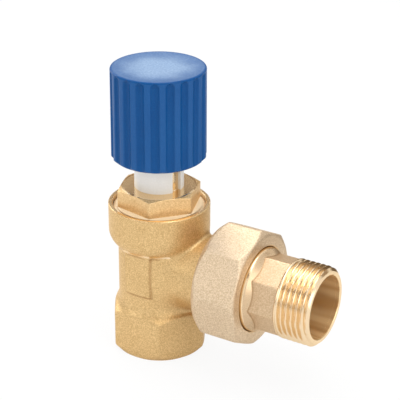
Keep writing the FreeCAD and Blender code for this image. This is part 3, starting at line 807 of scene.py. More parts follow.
@dataclass(frozen=True)
class Brass(Finish):
    """Brass that is grainy where it was blasted and fine-turned where a tool has cut it."""

    blasted: Colour = from_screen(240, 208, 153)
    blasted_dark: Colour = from_screen(188, 150, 95)
    blasted_rough: float = 0.37
    blasted_metal: float = 0.62
    cut: Colour = from_screen(242, 217, 180)
    cut_rough: float = 0.2
    bored: Colour = from_screen(250, 218, 164)
    # Dark colour and strength of the painted reflection streaks in a bore
    bored_dark: Colour = from_screen(198, 152, 94)
    bored_streaks: float = 0.0
    bored_metal: float = 0.5
    bored_rough: float = 0.05
    bored_marks: float = 0.1
    # Colour of the painted shade in creases
    crease_dark: Colour = from_screen(150, 108, 62)
    edge_tint: Colour = from_screen(254, 240, 216)
    grain: float = 2300.0
    fine_times: float = 2.2
    grain_depth: float = 0.00011
    relief: float = 0.75
    cloud: float = 90.0
    fine_share: float = 0.4
    cloud_share: float = 0.25
    cloud_rough: float = 0.12
    speckle_rough: float = 0.10
    speckle_band: Band = (0.35, 0.68)
    turning_lines: float = 5200.0
    turning_band: Band = (0.3, 0.7)
    turning_tint: float = 0.35
    turning_depth: float = 0.06
    turning_rough: float = 0.10
    streak_lines: float = 240.0
    streak_length: float = 25.0
    streak_band: Band = (0.36, 0.62)
    about: Axis = Axis.STEM

    def cut_share(self, place: Place) -> Number:
        """Returns where a tool has cut the surface: 1 there, 0 on blasted skin."""
        return 0.0

    def bored_share(self, place: Place) -> Number:
        """Returns where a cut surface is dull: 1 there, 0 elsewhere."""
        return 0.0

    def crease_share(self, place: Place) -> Number:
        """Returns how much painted shade darkens a crease, from 0 to 1."""
        return 0.0

    def shade(self, place: Place) -> dict[str, object]:
        """Returns the shader's inputs.

        Args:
            place: A point on the surface.

        Returns:
            Values, colours and sockets by the shader socket's name.
        """
        board, spot = place.board, place.vector()
        share, bored = self.cut_share(place), self.bored_share(place)
        fine = board.noise(spot, self.grain * self.fine_times, detail=3.0, rough=0.6)
        coarse = board.noise(spot, self.grain, rough=0.55)
        cloud = board.noise(spot, self.cloud)
        rings = self.turning_marks(place)
        grain = coarse * (1.0 - self.fine_share) + fine * self.fine_share
        speckle = grain.step(*self.speckle_band)
        pale = speckle * (1.0 - self.cloud_share) + cloud * self.cloud_share
        skin = board.mix(pale, self.blasted_dark, self.blasted)
        # Painted shade: the colour darkens in creases
        skin = board.mix(self.crease_share(place), skin, self.crease_dark)
        marks = rings.step(*self.turning_band) * self.turning_tint
        turned = board.mix(marks, self.cut, self.blasted)
        # Painted reflection: dark streaks along a bore stand in for the bands it reflects
        painted_reflection = self.streaks(place) * self.bored_streaks
        dull = board.mix(painted_reflection, self.bored, self.bored_dark)
        skin_rough = self.blasted_rough + (cloud - 0.5) * self.cloud_rough
        skin_rough = skin_rough + (0.5 - speckle) * self.speckle_rough
        turned_rough = self.cut_rough + (rings - 0.5) * self.turning_rough
        turned_rough = turned_rough + bored * self.bored_rough
        marks = share * self.turning_depth + bored * self.bored_marks
        height = grain * (1.0 - share) + rings * marks
        metal = share + (1.0 - share) * self.blasted_metal
        return {
            "Base Color": board.mix(bored, board.mix(share, skin, turned), dull),
            "Metallic": metal - bored * (1.0 - self.bored_metal),
            "Roughness": skin_rough * (1.0 - share) + turned_rough * share,
            "Normal": board.bump(self.relief, self.grain_depth, height),
            "Specular Tint": self.edge_tint,
        }

    def streaks(self, place: Place) -> Value:
        """Returns painted reflections in streaks that run along the piece's axis.

        Args:
            place: A point on the surface.

        Returns:
            The painted reflection, from 0 to 1.
        """
        across, along = self.streak_lines, self.streak_length
        x, z = (across, along) if self.about is Axis.STEM else (along, across)
        spot = place.board.vector(place.x * x, place.y * across, place.z * z)
        return place.board.noise(spot, detail=1.0).step(*self.streak_band)

    def turning_marks(self, place: Place) -> Value:
        """Returns fine rings round the piece's axis.

        Args:
            place: A point on the surface.

        Returns:
            The rings, from 0 to 1.
        """
        if self.about is Axis.STEM:
            along, away = place.z, place.from_stem()
        else:
            along, away = place.x, place.from_outlet()
        ring = place.board.vector(along * self.turning_lines, away * self.turning_lines)
        return place.board.noise(ring, detail=1.0)


# Cut brass in a recess, which is duller than in the open
DULLED = {"bored": from_screen(240, 218, 182), "bored_metal": 0.3, "bored_rough": 0.15,
          "bored_marks": 0.0}


@dataclass(frozen=True)
class BodyBrass(Brass):
    """The body's brass: cut at the rim, in the bores, on the foot and at the union thread."""

    rim: float = 0.05261
    floor: float = 0.0505
    floor_margin: float = 0.0005
    recess: float = 0.01568
    recess_depth: float = 0.012
    bore: float = 0.0136
    bore_top: float = 0.0152
    chamber: float = 0.0118
    foot: float = 0.00012
    passage_start: float = 0.0095
    outlet_bore: float = 0.0108
    thread_start: float = 0.0242
    pad_side: float = 0.00525
    pad_sole: float = 0.0231
    pad_back: float = -0.010
    # Darkness of the painted shade round the pad
    pad_oxide: float = 0.45
    ring_foot: float = 0.038
    ring_root: float = 0.0148
    ring_end: float = 0.011
    # Darkness of the painted shade under the ring
    ring_oxide: float = 0.4
    crease_band: Band = (0.00018, 0.00072)
    crease_reach: float = 0.0004

    def near(self, along: Value, middle: float) -> Value:
        """Returns 1 at a coordinate, falling to 0 about a crease's width away."""
        off = (along - middle).math("ABSOLUTE")
        return 1.0 - off.step(*self.crease_band)

    def crease_share(self, place: Place) -> Value:
        """Returns how much painted shade darkens the creases round the pad and under the ring.

        Args:
            place: A point on the surface.

        Returns:
            The share, from 0 to 1.
        """
        across = place.x.math("ABSOLUTE")
        side = self.near(across, self.pad_side) * (place.z > self.pad_sole - self.crease_reach)
        sole = self.near(place.z, self.pad_sole) * (across < self.pad_side + self.crease_reach)
        pad = side.math("MAXIMUM", sole) * (place.y < self.pad_back) * (place.z < self.ring_foot)
        ring = self.near(place.z, self.ring_foot) * (place.from_stem() < self.ring_root)
        ring = ring * (place.x < self.ring_end)
        return (pad * self.pad_oxide + ring * self.ring_oxide).clamped()

    def bored_share(self, place: Place) -> Value:
        """Returns 1 inside the ring."""
        inside = (place.z > self.floor - self.floor_margin) * (place.z < self.rim)
        return inside * (place.from_stem() < self.recess)

    def cut_share(self, place: Place) -> Value:
        """Returns 1 on the rim, the recess, the bores, the foot and the union thread.

        Args:
            place: A point on the surface.

        Returns:
            The share, from 0 to 1.
        """
        stem = place.from_stem()
        rim = place.z > self.rim
        recess = (place.z > self.floor - self.recess_depth) * (stem < self.recess)
        inlet = (place.z < self.bore_top) * (stem < self.bore)
        chamber = (stem < self.chamber) * (place.x < self.chamber)
        foot = place.z < self.foot
        outlet = (place.x > self.passage_start) * (place.from_outlet() < self.outlet_bore)
        thread = place.x > self.thread_start
        return (rim + recess + inlet + chamber + foot + outlet + thread).clamped()


@dataclass(frozen=True)
class BonnetBrass(Brass):
    """The bonnet's brass: blasted on its flats and cut everywhere else."""

    foot: float = 0.05215
    dull_start: float = 0.05015
    dull_end: float = 0.05245
    face: float = 0.05847
    neck: float = 0.0119

    def bored_share(self, place: Place) -> Value:
        """Returns 1 on the collar below the flats."""
        return (place.z > self.dull_start) * (place.z < self.dull_end)

    def cut_share(self, place: Place) -> Value:
        """Returns 1 on the face, below the flats and on the neck."""
        face = place.z > self.face
        return (face + (place.z < self.foot) + (place.from_stem() < self.neck)).clamped()


@dataclass(frozen=True)
class NutBrass(Brass):
    """The nut's brass: cut in its hole and inside."""

    hole: float = 0.01475
    inside: float = 0.01755
    wall: float = 0.0372

    def bored_share(self, place: Place) -> Value:
        """Returns 1 in the hole."""
        return place.from_outlet() < self.hole

    def cut_share(self, place: Place) -> Value:
        """Returns 1 in the hole and in the threaded inside."""
        out = place.from_outlet()
        return ((out < self.hole) + (out < self.inside) * (place.x < self.wall)).clamped()


@dataclass(frozen=True)
class TailBrass(Brass):
    """The tailpiece's brass: blasted on its grip and cut on collar, cone, thread, face and bore."""

    collar: float = 0.0141
    cone_start: float = 0.0403
    cone_slope: float = 1.0
    # Darkness of the painted shade on the cone
    cone_tarnish: float = 0.6
    cone_band: Band = (0.0001, 0.0006)
    cone_margin: float = 0.00006
    cone_blasted: float = 0.5
    grip_end: float = 0.0506
    bore: float = 0.01075

    def above_cone(self, place: Place) -> Value:
        """Returns how far the surface stands above the collar's cone."""
        return place.from_outlet() - self.collar + (place.x - self.cone_start) * self.cone_slope

    def crease_share(self, place: Place) -> Value:
        """Returns the painted shade on the cone and in its corner with the grip.

        Args:
            place: A point on the surface.

        Returns:
            The share, from 0 to 1.
        """
        off = self.above_cone(place).math("ABSOLUTE")
        close = 1.0 - off.step(*self.cone_band)
        return close * (place.x > self.cone_start) * self.cone_tarnish

    def cut_share(self, place: Place) -> Value:
        """Returns 1 on the collar, past the grip and in the bore, and a half on the cone.

        Args:
            place: A point on the surface.

        Returns:
            The share, from 0 to 1.
        """
        skin = (place.x > self.cone_start) * self.cone_blasted
        turned = (self.above_cone(place) < self.cone_margin) * (1.0 - skin)
        return (turned + (place.x > self.grip_end) + self.bored_share(place)).clamped()

    def bored_share(self, place: Place) -> Value:
        """Returns 1 in the bore."""
        return place.from_outlet() < self.bore


@dataclass(frozen=True)
class TurnedBrass(Brass):
    """Brass that is cut all over."""

    def cut_share(self, place: Place) -> float:
        """Returns 1 everywhere."""
        return 1.0


@dataclass(frozen=True)
class Plastic(Finish):
    """Moulded plastic with a fine sparked texture and faint flow clouds."""

    colour: Colour = from_screen(0, 66, 126)
    pale: Colour = from_screen(6, 88, 150)
    rough: float = 0.34
    texture: float = 2600.0
    texture_depth: float = 0.00005
    gloss: float = 0.18
    relief: float = 0.6
    cloud: float = 70.0
    spark_band: Band = (0.45, 0.75)
    cloud_pale: float = 0.5
    spark_pale: float = 0.35
    cloud_rough: float = 0.08
    spark_rough: float = 0.16

    def shade(self, place: Place) -> dict[str, object]:
        """Returns the shader's inputs.

        Args:
            place: A point on the surface.

        Returns:
            Values, colours and sockets by the shader socket's name.
        """
        board, spot = place.board, place.vector()
        spark = board.noise(spot, self.texture, rough=0.55)
        cloud = board.noise(spot, self.cloud)
        pale = cloud * self.cloud_pale + spark.step(*self.spark_band) * self.spark_pale
        rough = self.rough + (spark - 0.5) * self.spark_rough + (cloud - 0.5) * self.cloud_rough
        return {
            "Base Color": board.mix(pale, self.colour, self.pale),
            "Roughness": rough,
            "Normal": board.bump(self.relief, self.texture_depth, spark),
            "Specular IOR Level": self.gloss,
        }


@dataclass(frozen=True)
class KnobPlastic(Plastic):
    """The knob's plastic: a painted sheen makes its ribs paler, and a painted highlight lightens
    its rougher top face.
    """

    # Colours of the painted sheen on the ribs and the painted highlight on the top face
    rubbed: Colour = from_screen(46, 96, 154)
    frosted: Colour = from_screen(158, 182, 208)
    rib: float = 0.01548
    rib_depth: float = 0.00025
    top: float = 0.0990
    rim_band: Band = (0.0144, 0.0154)
    patch: float = 0.0146
    patch_core: float = 0.35
    mottle: float = 1500.0
    mottle_band: Band = (0.3, 0.75)
    drift: float = 160.0
    drift_reach: float = 0.006
    rubbed_least: float = 0.2
    rubbed_mottle: float = 0.4
    # Strengths of the painted highlight on the top face
    frost_least: float = 0.22
    frost_middle: float = 0.45
    frost_base: float = 0.75
    frost_mottle: float = 0.5
    matt: float = 0.12

    def shade(self, place: Place) -> dict[str, object]:
        """Returns the shader's inputs.

        Args:
            place: A point on the surface.

        Returns:
            Values, colours and sockets by the shader socket's name.
        """
        values = super().shade(place)
        board, spot = place.board, place.vector()
        stem = place.from_stem()
        mottle = board.noise(spot, self.mottle, detail=3.0, rough=0.65)
        drift = (board.noise(spot, self.drift) - 0.5) * self.drift_reach
        above = place.z > self.top
        face = above * (1.0 - stem.step(*self.rim_band))
        ribs = stem.step(self.rib - self.rib_depth, self.rib) * (1.0 - above)
        # Painted sheen: the ribs are paler in the colour
        rubbed = ribs * (mottle * self.rubbed_mottle + self.rubbed_least)
        # Painted highlight: the top face is paler towards its middle
        middle = 1.0 - (stem + drift).step(self.patch * self.patch_core, self.patch)
        flecks = mottle.step(*self.mottle_band) * self.frost_mottle + self.frost_base
        frosted = face * (middle * self.frost_middle + self.frost_least) * flecks
        colour = board.mix(rubbed.clamped(), values["Base Color"], self.rubbed)
        values["Base Color"] = board.mix(frosted.clamped(), colour, self.frosted)
        values["Roughness"] = values["Roughness"] + (rubbed + frosted) * self.matt
        return values


@dataclass(frozen=True)
class Seal(Finish):
    """Rubber or fibre of a seal, matt with a fine mottle."""

    colour: Colour = from_screen(38, 38, 40)
    pale: Colour = from_screen(58, 58, 60)
    rough: float = 0.62
    mottle: float = 1400.0
    mottle_rough: float = 0.2
    relief: float = 0.4
    depth: float = 0.00004

    def shade(self, place: Place) -> dict[str, object]:
        """Returns the shader's inputs.

        Args:
            place: A point on the surface.

        Returns:
            Values, colours and sockets by the shader socket's name.
        """
        board = place.board
        pattern = board.noise(place.vector(), self.mottle, detail=3.0, rough=0.6)
        return {
            "Base Color": board.mix(pattern, self.colour, self.pale),
            "Roughness": self.rough + (pattern - 0.5) * self.mottle_rough,
            "Normal": board.bump(self.relief, self.depth, pattern),
        }


@dataclass(frozen=True)
class Steel(Finish):
    """Drawn or turned steel with fine lines."""

    colour: Colour = from_screen(196, 198, 202)
    dark: Colour = from_screen(158, 160, 166)
    rough: float = 0.26
    lines: float = 4200.0
    line_rough: float = 0.14
    relief: float = 0.3
    depth: float = 0.00001

    def shade(self, place: Place) -> dict[str, object]:
        """Returns the shader's inputs.

        Args:
            place: A point on the surface.

        Returns:
            Values, colours and sockets by the shader socket's name.
        """
        board = place.board
        ring = board.vector(place.from_stem() * self.lines, place.z * self.lines)
        lines = board.noise(ring)
        return {
            "Base Color": board.mix(lines, self.dark, self.colour),
            "Metallic": 1.0,
            "Roughness": self.rough + (lines - 0.5) * self.line_rough,
            "Normal": board.bump(self.relief, self.depth, lines),
        }


# Sub-assemblies

@dataclass
class Outlet:
    """The outlet's union: tailpiece, gasket and nut."""

    height: float = 0.0306
    flange_start: float = 0.035
    flange_end: float = 0.037
    flange_radius: float = 0.0151
    collar_radius: float = 0.0141
    collar_end: float = 0.0403
    cone_end: float = 0.0424
    grip_flats: float = 0.024
    grip_turn: float = math.radians(74.9)
    grip_end: float = 0.0505
    thread_radius: float = 0.01322
    thread_depth: float = 0.00116
    thread_pitch: float = 0.001814
    tail_end: float = 0.0625
    bore_radius: float = 0.0106
    nut_back: float = 0.0234
    nut_front: float = 0.0394
    nut_flats: float = 0.0372
    nut_turn: float = math.radians(152.0)
    nut_hole: float = 0.01445
    nut_bore: float = 0.01667
    nut_wall: float = 0.03705
    nut_back_setback: float = 0.0005
    nut_back_angle: float = math.radians(50.0)
    nut_front_setback: float = 0.00025
    nut_front_angle: float = math.radians(40.0)
    union_pitch: float = 0.002309
    union_depth: float = 0.0006
    sides: int = 8
    tail_segments: int = 256
    nut_segments: int = 288

    def tailpiece(self) -> bpy.types.Object:
        """Builds the tailpiece with its octagonal grip and male pipe thread.

        Returns:
            The piece.
        """
        edge, lead_in, tip, mouth = 0.3 * MM, 0.5 * MM, 0.15 * MM, 0.2 * MM
        fine, root = self.thread_pitch / 14.0, self.thread_radius - self.thread_depth
        corner = corner_radius(self.grip_flats, self.sides)
        slope = (self.collar_radius - self.grip_flats / 2.0) / (self.cone_end - self.collar_end)
        shoulder = self.collar_end + (self.collar_radius - corner) / slope
        corners = [
            Corner(self.flange_start, self.bore_radius, 1 * MM),
            Corner(self.flange_start, self.flange_radius),
            Corner(self.flange_end, self.flange_radius),
            Corner(self.flange_end, self.collar_radius, 0.5 * MM),
            Corner(self.collar_end - edge, self.collar_radius, 0.3 * MM),
            Corner(self.collar_end + edge, self.collar_radius - edge * slope, 0.12 * MM),
            Corner(shoulder, corner, 0.12 * MM),
            Corner(self.cone_end + 0.4 * MM, corner, 0.4 * MM),
            Corner(self.grip_end - edge, corner, 0.1 * MM),
            Corner(self.grip_end, corner - edge, 0.1 * MM),
            Corner(self.grip_end, self.thread_radius - lead_in, fine),
            Corner(self.grip_end + lead_in, self.thread_radius, fine),
            Corner(self.tail_end - self.thread_depth, self.thread_radius, fine),
            Corner(self.tail_end - tip, root, 0.1 * MM),
            Corner(self.tail_end, root - tip, 0.5 * MM),
            Corner(self.tail_end, self.bore_radius + mouth, 0.1 * MM),
            Corner(self.tail_end - mouth, self.bore_radius, 1 * MM),
        ]
        rules = [
            WrenchFlats(self.sides, self.grip_flats, self.grip_turn, self.collar_end,
                        self.grip_end + HAIR, softness=0.25 * MM,
                        cone_radius=self.collar_radius, cone_slope=slope),
            Thread(self.thread_radius, self.thread_depth, self.thread_pitch,
                   self.grip_end + 0.2 * MM, self.tail_end),
        ]
        # The bore gets painted reflection streaks
        material = TailBrass("tailpiece_brass", blasted=from_screen(232, 206, 172),
                             blasted_dark=from_screen(194, 162, 124), bored_streaks=0.8,
                             about=Axis.OUTLET).material()
        piece = worked("tailpiece_shown", corners, Axis.OUTLET, self.tail_segments, rules, material)
        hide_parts("tailpiece")
        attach(piece, "tail")
        return piece

    def union_nut(self) -> bpy.types.Object:
        """Builds the octagonal union nut with its threaded inside.

        Returns:
            The piece.
        """
        half = self.nut_flats / 2.0
        back, front = half - self.nut_back_setback, half - self.nut_front_setback
        corner = corner_radius(self.nut_flats, self.sides)
        back_run = (corner - half + self.nut_back_setback) * math.tan(self.nut_back_angle)
        front_run = (corner - half + self.nut_front_setback) * math.tan(self.nut_front_angle)
        edge, lead_in, fine = 0.25 * MM, 0.8 * MM, self.union_pitch / 12.0
        corners = [
            Corner(self.nut_back + lead_in, self.nut_bore, fine),
            Corner(self.nut_back, self.nut_bore + lead_in, 1 * MM),
            Corner(self.nut_back, back - edge, 0.15 * MM),
            Corner(self.nut_back + edge, back + edge * 0.6, 0.2 * MM),
            Corner(self.nut_back + back_run, corner, 0.4 * MM),
            Corner(self.nut_front - front_run, corner, 0.2 * MM),
            Corner(self.nut_front - edge, front + edge, 0.15 * MM),
            Corner(self.nut_front, front - edge, 0.6 * MM),
            Corner(self.nut_front, self.nut_hole + edge, 0.1 * MM),
            Corner(self.nut_front - edge, self.nut_hole, 0.6 * MM),
            Corner(self.nut_wall, self.nut_hole, 0.6 * MM),
            Corner(self.nut_wall, self.nut_bore, fine),
        ]
        rules = [
            WrenchFlats(self.sides, self.nut_flats, self.nut_turn, self.nut_back + HAIR,
                        self.nut_front - HAIR, softness=0.9 * MM),
            Thread(self.nut_bore, self.union_depth, self.union_pitch, self.nut_back,
                   self.nut_wall - 1.5 * MM, inside=True),
        ]
        # The nut's brass is paler and less yellow than the body's: painted light for the brighter
        # light on the nut
        material = NutBrass("union_nut_brass", blasted=from_screen(241, 220, 191),
                            blasted_dark=from_screen(190, 163, 129), grain_depth=0.0002,
                            about=Axis.OUTLET, **DULLED).material()
        piece = worked("union_nut_shown", corners, Axis.OUTLET, self.nut_segments, rules, material)
        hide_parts("union_nut")
        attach(piece, "nut")
        return piece

    def build(self) -> None:
        """Builds the union's pieces and dresses its gasket."""
        for piece in (self.tailpiece(), self.union_nut()):
            log.info("%s: %d faces", piece.name, len(piece.data.polygons))
        dress("union_gasket", Seal("fibre_seal", from_screen(92, 104, 92),
                                   from_screen(128, 138, 122)))


@dataclass
class Knob:
    """The fluted setting knob."""

    bottom: float = 0.0687
    top: float = 0.09965
    radius: float = 0.01555
    draft: float = 0.0001
    edge: float = 0.0007
    foot_radius: float = 0.0148
    foot_height: float = 0.0009
    cavity_radius: float = 0.00852
    cavity_top: float = 0.086
    dish: float = 0.0003
    dish_share: float = 0.72
    flutes: int = 20
    cutter: float = 0.0019
    cutter_centre: float = 0.0166
    flute_turn: float = math.radians(-7.1)
    flute_margin: float = 0.0001
    flute_softness: float = 0.00012
    segments: int = 480
    sharp: float = 40.0

    def build(self) -> None:
        """Builds the knob in place of the plain one."""
        soft, shoulder = 0.35 * MM, self.radius - self.edge
        flute_top = self.top - self.flute_margin - self.cutter
        corners = [
            Corner(self.cavity_top, 0.0),
            Corner(self.cavity_top, self.cavity_radius, 3 * MM),
            Corner(self.bottom + soft, self.cavity_radius, 0.2 * MM),
            Corner(self.bottom, self.cavity_radius + soft, 3 * MM),
            Corner(self.bottom, self.foot_radius - soft, 0.1 * MM),
            Corner(self.bottom + soft * 0.5, self.foot_radius, 0.15 * MM),
            Corner(self.bottom + self.foot_height, self.radius + self.draft, 1.2 * MM),
            Corner(flute_top - 0.4 * MM, self.radius, 0.15 * MM),
            *arc_corners((self.top - self.edge, shoulder), self.edge, 90.0, 0.0, count=7)[:-1],
            Corner(self.top, shoulder, 1 * MM),
            Corner(self.top - self.dish, self.radius * self.dish_share, 1.5 * MM),
            Corner(self.top - self.dish, 0.0),
        ]
        rule = Flutes(self.flutes, self.cutter, self.cutter_centre, self.flute_turn, flute_top,
                      self.flute_softness)
        material = KnobPlastic("knob_blue").material()
        piece = worked("adjusting_knob_shown", corners, Axis.STEM, self.segments, [rule], material,
                       self.sharp)
        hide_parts("adjusting_knob")
        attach(piece, "knob")
        log.info("%s: %d faces", piece.name, len(piece.data.polygons))


def dress(node: str, finish: Finish) -> None:
    """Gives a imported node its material.

    Args:
        node: The node's name.
        finish: Its finish.
    """
    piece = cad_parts[node]
    material = finish.material()
    if not piece.material_slots:
        piece.data.materials.append(material)
    for slot in piece.material_slots:
        slot.material = material
    log.info("%s: %s", node, finish.name)


def eased_min(first: np.ndarray, second: np.ndarray, reach: float) -> np.ndarray:
    """Returns the smaller of two distances, eased where they are nearly equal.

    Args:
        first: Distances from one form.
        second: Distances from the other form.
        reach: How far from the crease the easing reaches.

    Returns:
        Distances from both forms with a fillet between them.
    """
    share = np.maximum(reach - np.abs(first - second), 0.0) / reach
    return np.minimum(first, second) - share * share * reach * 0.25


def eased_max(first: np.ndarray, second: np.ndarray, reach: float) -> np.ndarray:
    """Returns the larger of two distances with an eased edge between them."""
    return -eased_min(-first, -second, reach)


@dataclass
class Forging:
    """The body: a forged skin with soft fillets, into which bores, rim and threads are cut."""

    base_flats: float = 0.030
    base_sides: int = 6
    base_height: float = 0.0155
    crown_slope: float = math.radians(20.0)
    foot_radius: float = 0.0146
    foot_slope: float = math.radians(36.0)
    tube_radius: float = 0.0139
    ring_radius: float = 0.017
    ring_bottom: float = 0.0435
    ring_rounding: float = 0.0062
    rim: float = 0.05266
    rim_edge: float = 0.00025
    neck_radius: float = 0.0127
    pad_half: float = 0.0048
    pad_bottom: float = 0.0233
    pad_face: float = 0.0142
    pad_draft: float = math.radians(25.0)
    corner_ease: float = 0.0008
    edge_ease: float = 0.0007
    root_ease: float = 0.0034
    neck_ease: float = 0.0042
    ring_ease: float = 0.0016
    pad_ease: float = 0.0004
    voxel: float = 0.00042
    over: float = 0.0012
    collar_start: float = 0.0243
    collar_end: float = 0.033
    collar_radius: float = 0.01662
    collar_depth: float = 0.00148
    collar_pitch: float = 0.002309
    outlet_bore: float = 0.0106
    passage: float = 0.0082
    recess: float = 0.0156
    recess_floor: float = 0.0505
    seal_pocket: float = 0.01385
    seal_ledge: float = 0.0491
    bonnet_bore: float = 0.01305
    bonnet_bore_start: float = 0.0423
    chamber: float = 0.0116
    chamber_floor: float = 0.0223
    seat_lip: float = 0.0087
    seat_height: float = 0.0235
    seat_bore: float = 0.0075
    seat_plate: float = 0.020
    inlet_bore: float = 0.0095
    inlet_end: float = 0.0145
    inlet_crest: float = 0.01206
    pipe_pitch: float = 0.001814
    pipe_depth: float = 0.00116
    mouth: float = 0.00045
    base_turns: tuple[float, ...] = (30.0, 90.0, 150.0)
    ring_reach: float = 0.003
    nudge: float = 0.00002
    least_slope: float = 0.2
    smoothings: int = 4
    rough_segments: int = 96
    bore_segments: int = 192
    collar_segments: int = 192
    passage_segments: int = 128
    sharp: float = 34.0

    def distance(self, spots: np.ndarray) -> np.ndarray:
        """Returns how far points lie outside the forged skin.

        Args:
            spots: Points, one a row.

        Returns:
            Distances, below 0 inside.
        """
        x, y, z = spots.T
        stem = np.hypot(x, y)
        base = np.full(len(spots), -1.0)
        for angle in self.base_turns:
            turn = math.radians(angle)
            flat = np.abs(x * math.cos(turn) + y * math.sin(turn)) - self.base_flats / 2.0
            base = eased_max(base, flat, self.corner_ease)
        crown = z - self.base_height + (stem - self.base_flats / 2.0) * math.tan(self.crown_slope)
        base = eased_max(base, crown * math.cos(self.crown_slope), self.edge_ease)
        foot = (stem - self.foot_radius) * math.tan(self.foot_slope) - z
        base = eased_max(base, foot * math.cos(self.foot_slope), self.edge_ease)
        tube = eased_min(stem - self.tube_radius, base, self.root_ease)
        neck = np.hypot(y, z - Outlet.height) - self.neck_radius
        neck = np.maximum(neck, np.maximum(-x, x - self.collar_start - self.over))
        skin = eased_min(tube, neck, self.neck_ease)
        deep = y + self.pad_face
        drawn, lean = deep * math.tan(self.pad_draft), math.cos(self.pad_draft)
        side = (np.abs(x) - self.pad_half - drawn) * lean
        sole = (self.pad_bottom - z - drawn) * lean
        pad = eased_max(eased_max(-deep, side, self.pad_ease), sole, self.pad_ease)
        skin = eased_min(skin, np.maximum(pad, y), self.pad_ease)
        middle = self.ring_radius - self.ring_rounding
        under = np.hypot(stem - middle, np.minimum(z - self.ring_bottom, 0.0)) - self.ring_rounding
        under = np.where(stem < middle, self.ring_bottom - self.ring_rounding - z, under)
        skin = eased_min(skin, np.maximum(under, -self.ring_reach), self.ring_ease)
        return np.maximum(skin, np.maximum(z - self.rim - self.over, -z - self.over))

    def settled(self, spots: np.ndarray, rounds: int) -> np.ndarray:
        """Moves points onto the forged skin.

        Args:
            spots: Points near the skin.
            rounds: How often each is moved.

        Returns:
            The points on the skin.
        """
        for _ in range(rounds):
            slope = np.empty_like(spots)
            for side, offset in enumerate(np.eye(3) * self.nudge):
                slope[:, side] = self.distance(spots + offset) - self.distance(spots - offset)
            slope /= 2.0 * self.nudge
            size = np.maximum((slope * slope).sum(axis=1), self.least_slope)
            spots = spots - slope * (self.distance(spots) / size)[:, None]
        return spots

    def skin(self, material: bpy.types.Material) -> bpy.types.Object:
        """Builds the forged skin as a closed mesh of even faces.

        Args:
            material: Its material.

        Returns:
            The piece.
        """
        low, high, base = -self.over, self.rim + self.over, self.base_height
        corner = corner_radius(self.base_flats, self.base_sides)
        end, segments = self.collar_start + self.over, self.rough_segments
        rough = bmesh.new()
        for axis, count, *points in [
            (Axis.STEM, self.base_sides, (low, 0.0), (low, corner), (base, corner), (base, 0.0)),
            (Axis.STEM, segments, (low, 0.0), (low, self.tube_radius),
             (self.ring_bottom - 4 * MM, self.tube_radius), (self.ring_bottom, self.ring_radius),
             (high, self.ring_radius), (high, 0.0)),
            (Axis.OUTLET, segments, (0.0, 0.0), (0.0, self.neck_radius), (end, self.neck_radius),
             (end, 0.0)),
        ]:
            part = turned_mesh("rough", [Corner(*point, WHOLE) for point in points], axis, count)
            rough.from_mesh(part)
            bpy.data.meshes.remove(part)
        draft = new_piece("skin", mesh_of("skin", rough), material)
        remesh = draft.modifiers.new("voxels", "REMESH")
        remesh.mode = "VOXEL"
        remesh.voxel_size = self.voxel
        final = plain_copy(draft)
        spots = np.empty(len(final.vertices) * 3)
        final.vertices.foreach_get("co", spots)
        spots = self.settled(spots.reshape(-1, 3), rounds=8)
        pairs = np.empty(len(final.edges) * 2, dtype=np.int64)
        final.edges.foreach_get("vertices", pairs)
        pairs = pairs.reshape(-1, 2)
        neighbours = np.bincount(pairs.ravel(), minlength=len(spots))[:, None]
        for _ in range(self.smoothings):
            total = np.zeros_like(spots)
            np.add.at(total, pairs[:, 0], spots[pairs[:, 1]])
            np.add.at(total, pairs[:, 1], spots[pairs[:, 0]])
            spots = self.settled(spots * 0.5 + total / neighbours * 0.5, rounds=2)
        final.vertices.foreach_set("co", spots.ravel())
        final.update()
        return new_piece("skin", final, material)

    def collar(self, material: bpy.types.Material) -> bpy.types.Object:
        """Builds the threaded collar that the union nut screws on.

        Args:
            material: Its material.

        Returns:
            The piece.
        """
        fine, edge = self.collar_pitch / 14.0, 0.5 * MM
        corners = [
            Corner(self.collar_start, 0.0),
            Corner(self.collar_start, self.collar_radius - edge, WHOLE),
            Corner(self.collar_start + edge, self.collar_radius, fine),
            Corner(self.collar_end - edge, self.collar_radius, fine),
            Corner(self.collar_end, self.collar_radius - edge, WHOLE),
            Corner(self.collar_end, 0.0),
        ]
        rule = Thread(self.collar_radius, self.collar_depth, self.collar_pitch, self.collar_start,
                      self.collar_end)
        return worked("collar", corners, Axis.OUTLET, self.collar_segments, [rule], material)

    def stem_cutter(self, material: bpy.types.Material) -> bpy.types.Object:
        """Builds what is cut away about the valve's axis, from the inlet to the rim.

        Args:
            material: Its material.

        Returns:
            The piece.
        """
        far, beyond, fine, edge = 0.025, 0.005, self.pipe_pitch / 14.0, self.rim_edge
        corners = [
            Corner(-beyond, 0.0),
            Corner(-beyond, far, WHOLE),
            Corner(0.0, far, WHOLE),
            Corner(0.0, self.inlet_crest + self.mouth, fine),
            Corner(self.mouth, self.inlet_crest, fine),
            *stepped(self.inlet_crest, (self.inlet_end, self.inlet_bore),
                     (self.seat_plate, self.seat_bore), (self.seat_height, self.seat_lip),
                     (self.chamber_floor, self.chamber), (self.bonnet_bore_start, self.bonnet_bore),
                     (self.seal_ledge, self.seal_pocket), (self.recess_floor, self.recess)),
            Corner(self.rim - edge, self.recess, WHOLE),
            Corner(self.rim, self.recess + edge, WHOLE),
            Corner(self.rim, self.ring_radius - edge, WHOLE),
            Corner(self.rim - far + self.ring_radius - edge, far, WHOLE),
            Corner(self.rim + beyond, far, WHOLE),
            Corner(self.rim + beyond, 0.0),
        ]
        rule = Thread(self.inlet_crest, self.pipe_depth, self.pipe_pitch, self.mouth,
                      self.inlet_end, inside=True)
        return worked("stem_cutter", corners, Axis.STEM, self.bore_segments, [rule], material)

